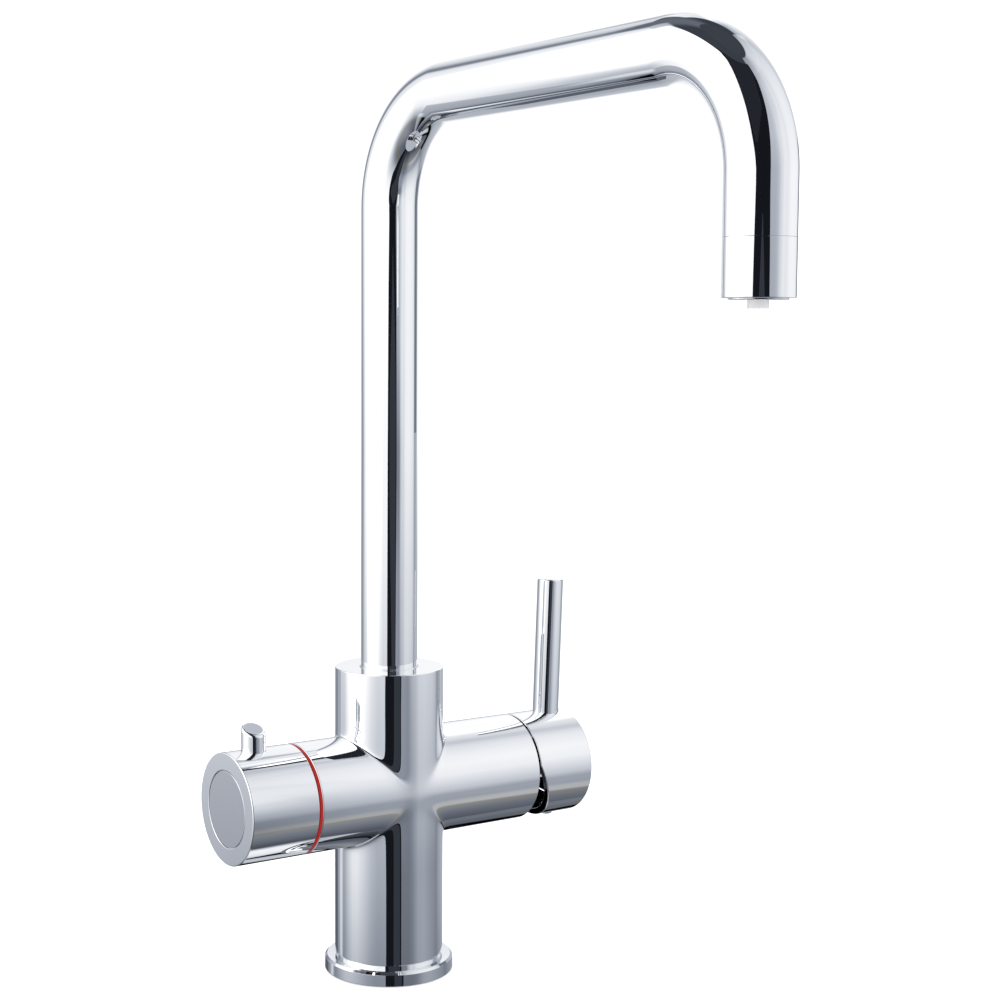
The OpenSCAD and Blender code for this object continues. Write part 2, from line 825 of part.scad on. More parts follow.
module safety_button() {
    color(chrome) on_button() difference() {
        rod(button_r, button_foot, button_top + button_r);
        translate([0, 0, button_top]) rotate([button_slope, 0, 0])
            translate([-button_d, -button_d, 0]) cube([2 * button_d, 2 * button_d, 2 * button_d]);
        translate([button_s - latch_end - seat_gap, -latch_w / 2 - seat_gap, latch_z - seat_gap])
            cube([button_d, latch_w + 2 * seat_gap, latch_t + 2 * seat_gap]);
    }
}

module button_latch() {
    color(steel) translate([-latch_end, -latch_w / 2, arm_z + latch_z])
        cube([latch_end - latch_start, latch_w, latch_t]);
}

// Coil spring as one tube round a helix
function coil_point(turn, side) =
    let (around = 360 * turn, tilt = 360 * side / spring_sides)
    let (reach = spring_r + spring_wire_r * cos(tilt))
    let (climb = (button_foot - spring_foot - 2 * spring_wire_r - 4 * seat_gap) * turn / spring_turns)
    [
        reach * cos(around), reach * sin(around),
        spring_foot + spring_wire_r + 2 * seat_gap + climb + spring_wire_r * sin(tilt)
    ];

module button_spring() {
    rings = spring_turns * spring_steps;
    points = [
        for (i = [0 : rings], side = [0 : spring_sides - 1]) coil_point(i / spring_steps, side)
    ];
    walls = [
        for (i = [0 : rings - 1], side = [0 : spring_sides - 1])
            let (a = i * spring_sides + side)
            let (b = i * spring_sides + (side + 1) % spring_sides)
            [a, b, b + spring_sides, a + spring_sides]
    ];
    caps = [
        [for (side = [spring_sides - 1 : -1 : 0]) side],
        [for (side = [0 : spring_sides - 1]) rings * spring_sides + side]
    ];
    color(steel) on_button() polyhedron(points = points, faces = concat(walls, caps));
}

// Cartridge rotor, with the slot that the stem tilts in
module cartridge_rotor() {
    color(nylon) on_right() difference() {
        union() {
            rod(rotor_r, rotor_s, rotor_neck_s);
            rod(rotor_neck_r, rotor_neck_s, rotor_end);
        }
        translate([-stem_swing - 0.5, -slot_half_w, rotor_s - past])
            cube([stem_swing + stem_half_t + 0.8, 2 * slot_half_w, pivot_x - rotor_s + past]);
        translate([-stem_r - 0.3, -slot_half_w, pivot_x - 3])
            cube([stem_r + 0.3 + shank_swing + 0.5, 2 * slot_half_w, rotor_end - pivot_x + 3 + past]);
        translate([0, 0, pivot_x]) rotate([90, 0, 0])
            cylinder(r = pivot_pin_r + seat_gap, h = 2 * rotor_r, center = true);
    }
}

module cartridge_pivot_pin() {
    color(steel) translate([pivot_x, 0, arm_z]) rotate([90, 0, 0])
        cylinder(r = pivot_pin_r, h = 2 * pivot_pin_half, center = true);
}

module cartridge_moving_disc() {
    color(ceramic) translate([0, 0, slide_rest]) on_right() difference() {
        rod(slide_disc_r, slide_disc_s, slide_disc_s + slide_disc_t);
        translate([0, 0, slide_disc_s - past]) cylinder(r = slide_disc_r - 5, h = past + 1.8);
    }
}

module cartridge_slider() {
    color(black) translate([0, 0, arm_z]) difference() {
        translate([0, 0, slide_rest]) rotate([0, 90, 0]) rod(slider_r, slider_s, slider_s + slider_t);
        translate([ball_x - ball_r - 0.15, -ball_r - ball_play, -ball_r - ball_play])
            cube([slider_t + 2, 2 * (ball_r + ball_play), 2 * (ball_r + ball_play)]);
    }
}

module cartridge_stem() {
    color(steel) translate([0, 0, arm_z]) difference() {
        union() {
            translate([ball_x, 0, 0]) sphere(r = ball_r);
            rotate([0, 90, 0]) rod(ball_r - 0.5, ball_x, stem_s + 1);
            translate([stem_s, -stem_half_w, -stem_half_t])
                cube([stem_shank_s + 1 - stem_s, 2 * stem_half_w, 2 * stem_half_t]);
            rotate([0, 90, 0]) rod(stem_r, stem_shank_s, stem_end);
        }
        translate([pivot_x, 0, 0]) rotate([90, 0, 0])
            cylinder(r = pivot_pin_r + run_gap, h = 4 * stem_half_w, center = true);
    }
}

// Mixer handle
module on_lever() {
    translate([lever_x - lever_lean_shift, 0, arm_z]) rotate([0, lever_lean, 0]) children();
}

module mixer_wedge() {
    drop_h = body_r + wedge_tip + past;
    translate([0, body_r + past, arm_z]) rotate([90, 0, 0]) linear_extrude(height = 2 * (body_r + past))
        polygon([
            [right_arm - past, wedge_tip], [mixer_start, wedge_tip],
            [mixer_start + drop_h * tan(mixer_tilt), wedge_tip - drop_h],
            [right_arm - past, wedge_tip - drop_h]
        ]);
}

module mixer_handle_shell() {
    color(chrome) difference() {
        union() {
            on_right() difference() {
                rotate_extrude() polygon([
                    [0, mixer_start], [body_r - edge, mixer_start], [body_r, mixer_start + edge],
                    [body_r, mixer_end - 2 * edge], [body_r - 2 * edge, mixer_end], [0, mixer_end]
                ]);
                rod(mixer_cavity_r, mixer_start - past, mixer_end - mixer_end_wall);
            }
            on_right() rod(hub_r, hub_s, mixer_end - mixer_end_wall + past);
            on_lever() rod(post_r, 0, post_top);
        }
        on_right() rod(stem_r + seat_gap, stem_bore_s, stem_end + 0.3);
        on_lever() rod(lever_r + seat_gap, lever_seat - seat_gap, body_r + 5);
        on_lever() rod(lever_spigot_r + seat_gap, lever_spigot_foot - 0.3, lever_seat);
        translate([plug_x, 0, arm_z]) rod(plug_r + seat_gap, -body_r - past, -mixer_cavity_r + 2);
        translate([plug_x, 0, arm_z]) rod(grub_r + seat_gap, -hub_r - past, -stem_r);
        mixer_wedge();
    }
}

module lever_pin() {
    color(chrome) on_lever() rotate_extrude() polygon([
        [0, lever_spigot_foot], [lever_spigot_r, lever_spigot_foot], [lever_spigot_r, lever_seat],
        [lever_r, lever_seat], [lever_r, body_r + lever_len - edge],
        [lever_r - edge, body_r + lever_len], [0, body_r + lever_len]
    ]);
}

module handle_grub_screw() {
    color(steel) translate([plug_x, 0, arm_z - stem_r - 0.1 - grub_h]) difference() {
        cylinder(r = grub_r, h = grub_h);
        translate([0, 0, -past]) cylinder(r = grub_key_r, h = past + grub_key_h, $fn = 6);
    }
}

module index_plug() {
    color(steel) translate([plug_x, 0, arm_z - body_r - plug_proud])
        rotate_extrude() polygon([
            [0, 0], [plug_r - edge, 0], [plug_r, edge],
            [plug_r, mixer_wall + plug_proud], [0, mixer_wall + plug_proud]
        ]);
}

body_casting();
base_flange();
base_gasket();
spout_top_ring();
spout_lower_bearing();
spout_retaining_screw();
boil_tube_seal();
index_ring();
boil_valve_housing();
boil_valve_seal();
boil_fixed_disc();
boil_stop_ring();
cartridge_housing();
cartridge_base();
cartridge_base_seals();
cartridge_fixed_disc();
cartridge_nut();
cartridge_shroud();
spout_tube();
spout_spigot();
spout_o_rings();
boil_inner_tube();
nozzle_adapter();
nozzle_sleeve();
nozzle_washer();
flow_insert();
boil_tip();
boil_handle_shell();
boil_handle_disc();
boil_spindle();
boil_spindle_o_ring();
boil_moving_disc();
boil_handle_screw();
safety_button();
button_latch();
button_spring();
cartridge_rotor();
cartridge_pivot_pin();
cartridge_slider();
cartridge_moving_disc();
cartridge_stem();
mixer_handle_shell();
lever_pin();
handle_grub_screw();
index_plug();
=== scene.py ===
"""Looks of a boiling water mixer tap, built round its packed construction model.

The chromed skins are drawn as dense meshes with their true surface normals, because a
mirror finish shows every facet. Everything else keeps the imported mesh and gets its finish.
"""

import json
import logging
import math
from collections.abc import Callable, Sequence
from dataclasses import dataclass
from enum import Enum

import bmesh
import bpy
from mathutils import Matrix, Vector


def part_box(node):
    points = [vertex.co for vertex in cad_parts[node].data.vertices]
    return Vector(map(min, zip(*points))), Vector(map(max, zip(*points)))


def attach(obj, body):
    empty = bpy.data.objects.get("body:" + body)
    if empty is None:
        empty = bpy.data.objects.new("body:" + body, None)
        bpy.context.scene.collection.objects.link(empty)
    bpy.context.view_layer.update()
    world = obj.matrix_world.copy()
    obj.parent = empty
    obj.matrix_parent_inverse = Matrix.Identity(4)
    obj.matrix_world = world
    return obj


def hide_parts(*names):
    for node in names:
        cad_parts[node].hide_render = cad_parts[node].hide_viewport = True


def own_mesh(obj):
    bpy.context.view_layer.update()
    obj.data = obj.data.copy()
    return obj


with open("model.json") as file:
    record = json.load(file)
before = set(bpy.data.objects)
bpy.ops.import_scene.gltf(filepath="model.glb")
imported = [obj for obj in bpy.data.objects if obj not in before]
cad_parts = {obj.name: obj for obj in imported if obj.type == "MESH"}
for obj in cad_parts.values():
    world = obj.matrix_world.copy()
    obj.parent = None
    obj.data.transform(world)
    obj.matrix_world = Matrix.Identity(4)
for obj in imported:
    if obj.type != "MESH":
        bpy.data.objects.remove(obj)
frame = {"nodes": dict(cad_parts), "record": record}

Corners = Sequence[tuple[float, ...]]
Node = bpy.types.Node
Outputs = bpy.types.NodeOutputs
Piece = bpy.types.Object
Socket = bpy.types.NodeSocket
Stops = Sequence[tuple[float, float]]
Tree = bpy.types.NodeTree
Vert = bmesh.types.BMVert

LOG = logging.getLogger("tap")
MM = 0.001
FULL_TURN = 2 * math.pi
UP, EAST = Vector((0, 0, 1)), Vector((1, 0, 0))
ON_AXIS = 0.0001 * MM
STRAIGHT = 0.01
TRUSTED = 0.6
NORMAL_LAYER = "exact_normal"
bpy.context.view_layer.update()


class Body(Enum):
    """The bodies that the drawn pieces ride on."""

    TAP = "tap_body"
    SPOUT = "spout"
    BOIL_HANDLE = "boil_handle"
    BOIL_BUTTON = "boil_button"
    MIXER_HANDLE = "mixer_handle"


class Slot(Enum):
    """The material slots of the construction record."""

    CHROME = "chrome"
    CHROME_DISC = "chrome_disc"
    BRASS = "brass"
    STEEL = "steel"
    CERAMIC = "ceramic"
    NYLON = "nylon"
    WHITE_PLASTIC = "white_plastic"
    BLACK_PLASTIC = "black_plastic"
    RED_PLASTIC = "red_plastic"
    RUBBER = "rubber"


# --- nodes ---


def feed(tree: Tree, node: Node, inputs: dict[str | int, object]) -> None:
    """Fills a node's inputs.

    Args:
        tree: The tree it is in.
        node: The node.
        inputs: What each input gets: a value, a socket, or a node for its first output.
    """
    for name, value in inputs.items():
        if isinstance(value, Node):
            value = value.outputs[0]
        if isinstance(value, Socket):
            tree.links.new(value, node.inputs[name])
        else:
            node.inputs[name].default_value = value


def add_node(
    tree: Tree, kind: str, inputs: dict[str | int, object] | None = None, **settings: object
) -> Node:
    """Adds a node.

    Args:
        tree: The tree it is added to.
        kind: Its type.
        inputs: What its inputs get, as in feed.
        settings: Its own properties.

    Returns:
        The node.
    """
    node = tree.nodes.new(kind)
    for name, value in settings.items():
        setattr(node, name, value)
    feed(tree, node, inputs or {})
    return node


def ramp(tree: Tree, value: object, stops: Sequence[tuple[float, Sequence[float]]]) -> Node:
    """Adds a colour ramp.

    Args:
        tree: The material's tree.
        value: What the ramp reads, from 0 to 1.
        stops: Its stops, each a place and a colour.

    Returns:
        The ramp.
    """
    node = add_node(tree, "ShaderNodeValToRGB", {"Fac": value})
    elements = node.color_ramp.elements
    for index, (place, colour) in enumerate(stops):
        stop = elements[index] if index < 2 else elements.new(place)
        stop.position = place
        stop.color = (*colour, 1)
    return node


@dataclass(frozen=True)
class Finish:
    """A procedural finish on object coordinates, whose grain shades, roughens and dents it."""

    slot: Slot
    colour: tuple[float, float, float]
    metallic: float
    roughness: float
    roughness_spread: float
    grain: float
    grain_stretch: tuple[float, float, float] = (1.0, 1.0, 1.0)
    grain_detail: float = 4.0
    bump: float = 0.0
    bump_depth: float = 0.02 * MM
    shade_spread: float = 0.0
    coat: float = 0.0
    specular: float = 0.5

    def material(self) -> bpy.types.Material:
        """Builds the finish's material, or returns the one built before.

        Returns:
            The material, named for its slot.
        """
        name = f"finish_{self.slot.value}"
        if name in bpy.data.materials:
            return bpy.data.materials[name]
        made = bpy.data.materials.new(name)
        made.use_nodes = True
        tree = made.node_tree
        shader = tree.nodes["Principled BSDF"]
        place = add_node(tree, "ShaderNodeTexCoord")
        stretch = add_node(tree, "ShaderNodeMapping", {
            "Vector": place.outputs["Object"], "Scale": self.grain_stretch,
        })
        grain = add_node(tree, "ShaderNodeTexNoise", {
            "Vector": stretch, "Scale": self.grain, "Detail": self.grain_detail,
        })
        spread = add_node(tree, "ShaderNodeMapRange", {
            "Value": grain,
            "To Min": max(0.0, self.roughness - self.roughness_spread),
            "To Max": self.roughness + self.roughness_spread,
        })
        feed(tree, shader, {
            "Base Color": (*self.colour, 1), "Metallic": self.metallic, "Roughness": spread,
            "Coat Weight": self.coat, "Specular IOR Level": self.specular,
        })
        if self.shade_spread:
            dark = [channel * (1 - self.shade_spread) for channel in self.colour]
            feed(tree, shader, {"Base Color": ramp(tree, grain, [(0.3, dark), (0.7, self.colour)])})
        if self.bump:
            feed(tree, shader, {"Normal": add_node(tree, "ShaderNodeBump", {
                "Height": grain, "Strength": self.bump, "Distance": self.bump_depth,
            })})
        return made


FINISHES = {
    finish.slot: finish
    for finish in (
        Finish(Slot.CHROME, (0.93, 0.94, 0.955), 1.0, 0.018, 0.006, 45,
               bump=0.25, bump_depth=0.1 * MM, shade_spread=0.01),
        Finish(Slot.CHROME_DISC, (0.72, 0.73, 0.76), 1.0, 0.16, 0.03, 900,
               grain_stretch=(1, 1, 6), shade_spread=0.03),
        Finish(Slot.BRASS, (0.80, 0.60, 0.29), 1.0, 0.24, 0.06, 700, bump=0.15, shade_spread=0.08),
        Finish(Slot.STEEL, (0.62, 0.63, 0.65), 1.0, 0.2, 0.06, 900, bump=0.1, shade_spread=0.06),
        Finish(Slot.CERAMIC, (0.92, 0.91, 0.87), 0.0, 0.18, 0.04, 400, shade_spread=0.03, coat=0.4),
        Finish(Slot.NYLON, (0.84, 0.85, 0.82), 0.0, 0.45, 0.06, 500, bump=0.2, shade_spread=0.03),
        Finish(Slot.WHITE_PLASTIC, (0.7, 0.695, 0.71), 0.0, 0.4, 0.05, 600,
               bump=0.15, shade_spread=0.02),
        Finish(Slot.BLACK_PLASTIC, (0.018, 0.018, 0.02), 0.0, 0.35, 0.06, 700,
               bump=0.2, shade_spread=0.3),
        Finish(Slot.RED_PLASTIC, (0.36, 0.008, 0.005), 0.0, 0.35, 0.04, 600,
               bump=0.1, shade_spread=0.12, specular=0.2),
        Finish(Slot.RUBBER, (0.02, 0.02, 0.022), 0.0, 0.6, 0.08, 500, bump=0.3, shade_spread=0.3),
    )
}


# --- drawing ---


@dataclass(frozen=True)
class Axis:
    """A line that outlines turn round, with the direction that angles start from."""

    origin: Vector
    along: Vector
    start: Vector

    def radial(self, angle: float) -> Vector:
        """The direction out from the axis at an angle."""
        return self.start * math.cos(angle) + self.along.cross(self.start) * math.sin(angle)

    def point(self, along: float, out: float, angle: float) -> Vector:
        """The point at a distance along the axis, a distance out and an angle."""
        return self.origin + self.along * along + self.radial(angle) * out


def upright(x: float = 0, y: float = 0, z: float = 0) -> Axis:
    """The axis that goes up from a point."""
    return Axis(Vector((x, y, z)), UP, EAST)


@dataclass(frozen=True)
class Mark:
    """A point of an outline, with the outline's normal just before it and just after it."""

    along: float
    out: float
    before: Vector
    after: Vector


def outline(corners: Corners, closed: bool, steps: int) -> list[Mark]:
    """Rounds the corners of an outline and works out its normals.

    Args:
        corners: The corners in order, each a distance along the axis, a distance out from it
            and, where it is rounded, a radius.
        closed: Whether the last corner joins the first.
        steps: The number of chords in a rounded corner.

    Returns:
        The outline's marks, in order.
    """
    marks: list[Mark] = []
    spots = [Vector(corner[:2]) for corner in corners]
    for index, here in enumerate(spots):
        came = (here - spots[index - 1]).normalized()
        goes = (spots[(index + 1) % len(spots)] - here).normalized()
        if not closed and index == 0:
            came = goes
        if not closed and index == len(spots) - 1:
            goes = came
        before, after = Vector((-came.y, came.x)), Vector((-goes.y, goes.x))
        turn = math.atan2(came.x * goes.y - came.y * goes.x, came.dot(goes))
        along, out, *radius = corners[index]
        if not radius or abs(turn) < STRAIGHT:
            marks.append(Mark(along, out, before, after))
            continue
        side = math.copysign(radius[0], turn)
        centre = here - came * radius[0] * math.tan(abs(turn) / 2) + before * side
        for step in range(steps + 1):
            normal = Matrix.Rotation(turn * step / steps, 2) @ before
            spot = centre - normal * side
            marks.append(Mark(spot.x, spot.y, normal, normal))
    return marks


@dataclass(frozen=True)
class Slant:
    """Moves points along the axis, by a height that depends on their place.

    Args:
        height: Gives the height at a point.
        slope: Gives the height's gradient at a point.
        covers: Says whether a mark of the outline is moved.
    """

    height: Callable[[Vector], float]
    slope: Callable[[Vector], Vector]
    covers: Callable[[Mark], bool]


class Draft:
    """A mesh while it is drawn, with an exact normal at each corner of each face."""

    def __init__(self) -> None:
        """Starts an empty mesh."""
        self.mesh = bmesh.new()
        self.normals = self.mesh.loops.layers.float_vector.new(NORMAL_LAYER)

    def face(self, corners: Sequence[Vert], normals: Sequence[Vector]) -> None:
        """Adds a face.

        Args:
            corners: Its vertices.
            normals: The exact normal at each of them, of either sign.
        """
        made = self.mesh.faces.new(corners)
        made.smooth = True
        for loop, normal in zip(made.loops, normals):
            loop[self.normals] = normal

    def lathe(
        self, axis: Axis, corners: Corners, closed: bool, steps: int = 5, count: int = 192,
        slant: Slant | None = None,
    ) -> None:
        """Adds an outline turned round an axis.

        Args:
            axis: The axis.
            corners: The outline's corners, as in outline.
            closed: Whether its last corner joins its first.
            steps: The number of chords in a rounded corner.
            count: The number of steps in a full turn.
            slant: What moves some of its marks along the axis.
        """
        marks = outline(corners, closed, steps)
        angles = [FULL_TURN * step / count for step in range(count)]

        def ring(mark: Mark) -> list[Vert]:
            """Adds the vertices of one mark.

            Args:
                mark: The mark.

            Returns:
                Its ring, or a single pole where it lies on the axis.
            """
            turns = angles[:1] if mark.out < ON_AXIS else angles
            points = [axis.point(mark.along, mark.out, angle) for angle in turns]
            if slant and slant.covers(mark):
                points = [point + axis.along * slant.height(point) for point in points]
            return [self.mesh.verts.new(point) for point in points]

        rings = [ring(mark) for mark in marks]

        def corner(index: int, step: int, flat: Vector) -> tuple[Vert, Vector]:
            """Finds one corner of a face.

            Args:
                index: The mark that it comes from.
                step: Its step round the axis.
                flat: The outline's normal there.

            Returns:
                The vertex and its normal.
            """
            vertex = rings[index][step % len(rings[index])]
            normal = axis.along * flat.x + axis.radial(angles[step % count]) * flat.y
            if slant and slant.covers(marks[index]):
                normal = normal - slant.slope(vertex.co) * normal.dot(axis.along)
            return vertex, normal.normalized()

        for here in range(len(marks) - (not closed)):
            there = (here + 1) % len(marks)
            after, before = marks[here].after, marks[there].before
            for step in range(count):
                found = [
                    corner(here, step, after), corner(here, step + 1, after),
                    corner(there, step + 1, before), corner(there, step, before),
                ]
                found = [item for place, item in enumerate(found) if item[0] != found[place - 1][0]]
                self.face(*zip(*found))

    def finished(self, name: str, merge: float = 0.001 * MM) -> Piece:
        """Closes the mesh and makes it an object.

        Args:
            name: The object's name.
            merge: The distance under which vertices are one.

        Returns:
            The object, with its place in its mesh.
        """
        bmesh.ops.remove_doubles(self.mesh, verts=self.mesh.verts, dist=merge)
        bmesh.ops.recalc_face_normals(self.mesh, faces=self.mesh.faces)
        data = bpy.data.meshes.new(name)
        self.mesh.to_mesh(data)
        self.mesh.free()
        return new_object(name, data)


def new_object(name: str, data: bpy.types.ID) -> Piece:
    """Makes an object and links it to the scene.

    Args:
        name: Its name.
        data: What it shows.

    Returns:
        The object.
    """
    made = bpy.data.objects.new(name, data)
    bpy.context.scene.collection.objects.link(made)
    return made


def plain(
    name: str, spots: Sequence[Sequence[float]] = (), edges: Sequence[tuple[int, int]] = (),
    faces: Sequence[tuple[int, ...]] = (),
) -> Piece:
    """Makes an object from plain lists.

    Args:
        name: Its name.
        spots: Its points.
        edges: Its edges that no face has, by their points.
        faces: Its faces, by their points.

    Returns:
        The object.
    """
    data = bpy.data.meshes.new(name)
    data.from_pydata(spots, edges, faces)
    return new_object(name, data)


def turned(
    name: str, axis: Axis, corners: Corners, closed: bool = True, steps: int = 5,
    count: int = 192, slant: Slant | None = None,
) -> Piece:
    """Makes an object of one turned outline.

    Args:
        name: Its name.
        axis, corners, closed, steps, count, slant: As in Draft.lathe.

    Returns:
        The object.
    """
    draft = Draft()
    draft.lathe(axis, corners, closed, steps, count, slant)
    return draft.finished(name)


def settle(piece: Piece) -> None:
    """Makes what a piece's modifiers give its plain mesh.

    Args:
        piece: The piece, which loses the modifiers.
    """
    graph = bpy.context.evaluated_depsgraph_get()
    result = bpy.data.meshes.new_from_object(
        piece.evaluated_get(graph), preserve_all_data_layers=True, depsgraph=graph
    )
    piece.modifiers.clear()
    old, piece.data = piece.data, result
    bpy.data.meshes.remove(old)


def cut(piece: Piece, cutter: Piece) -> None:
    """Cuts one closed mesh out of another and deletes the cutter.

    Args:
        piece: What is cut.
        cutter: What is cut out of it.
    """
    knife = piece.modifiers.new("cut", "BOOLEAN")
    knife.operation, knife.solver, knife.object = "DIFFERENCE", "EXACT", cutter
    settle(piece)
    bpy.data.objects.remove(cutter)


def drill(piece: Piece, axis: Axis, radius: float, start: float, end: float, count: int) -> None:
    """Cuts a round hole, from one distance along its axis to another."""
    corners = [(start, 0), (start, radius), (end, radius), (end, 0)]
    cut(piece, turned("hole", axis, corners, closed=False, count=count))


def grow(
    piece: Piece, name: str, values: dict[str, object], shape: Callable[[Tree, Outputs], Node]
) -> None:
    """Runs a Geometry Nodes tree on a piece and keeps the result as its plain mesh.

    Args:
        piece: The piece.
        name: The tree's name.
        values: The tree's inputs by their names, with a material under Finish.
        shape: Adds the tree's own nodes, fed by its inputs, and returns the last of them.
    """
    kinds = {int: "Int", float: "Float", Vector: "Vector", bpy.types.Material: "Material"}
    tree = bpy.data.node_groups.new(name, "GeometryNodeTree")
    face = tree.interface
    for way in ("INPUT", "OUTPUT"):
        face.new_socket("Geometry", in_out=way, socket_type="NodeSocketGeometry")
    for key, value in values.items():
        face.new_socket(key, in_out="INPUT", socket_type=f"NodeSocket{kinds[type(value)]}")
    given = add_node(tree, "NodeGroupInput").outputs
    real = add_node(tree, "GeometryNodeRealizeInstances", {"Geometry": shape(tree, given)})
    paint = add_node(tree, "GeometryNodeSetMaterial", {"Geometry": real, "Material": given["Finish"]})
    add_node(tree, "NodeGroupOutput", {"Geometry": paint})
    modifier = piece.modifiers.new(name, "NODES")
    modifier.node_group = tree
    for item in face.items_tree:
        if item.in_out == "INPUT" and item.name in values:
            modifier[item.identifier] = values[item.name]
    settle(piece)


def polish(piece: Piece) -> None:
    """Gives each corner of each face its exact normal, or the face's own where they part.

    Args:
        piece: The piece. One that was never given exact normals keeps its own shading.
    """
    data = piece.data
    layer = data.attributes.get(NORMAL_LAYER)
    if not layer:
        return
    flat = [face.normal.copy() for face in data.polygons]
    normals = [UP] * len(data.loops)
    for face in data.polygons:
        face.use_smooth = True
        for loop in face.loop_indices:
            exact = Vector(layer.data[loop].vector)
            toward = exact.dot(flat[face.index])
            normals[loop] = exact.normalized() * math.copysign(1, toward)
            if abs(toward) < TRUSTED:
                normals[loop] = flat[face.index]
    data.normals_split_custom_set(normals)
    data.attributes.remove(data.attributes[NORMAL_LAYER])


def dress(piece: Piece, slot: Slot, body: Body, node: str) -> None:
    """Finishes a drawn piece, hangs it on its body's empty and hides the node that it stands for.

    Args:
        piece: The piece.
        slot: The record's slot that it takes its finish from.
        body: The body that it rides on.
        node: The construction node that it stands for.
    """
    piece.data.materials.clear()
    piece.data.materials.append(FINISHES[slot].material())
    polish(piece)
    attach(piece, body.value)
    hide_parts(node)
    LOG.info("%s: %d faces on %s", piece.name, len(piece.data.polygons), body.value)


def low(node: str) -> Vector:
    """The lowest corner of a node's box."""
    return Vector(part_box(node)[0])


def high(node: str) -> Vector:
    """The highest corner of a node's box."""
    return Vector(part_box(node)[1])


def middle(node: str) -> Vector:
    """The middle of a node's box."""
    return (low(node) + high(node)) / 2


ARM_Z = (low("boil_handle_disc").z + high("boil_handle_disc").z) / 2
SWIVEL = upright()
LEFT = Axis(Vector((0, 0, ARM_Z)), -EAST, UP)
RIGHT = Axis(Vector((0, 0, ARM_Z)), EAST, -UP)


# --- casting ---


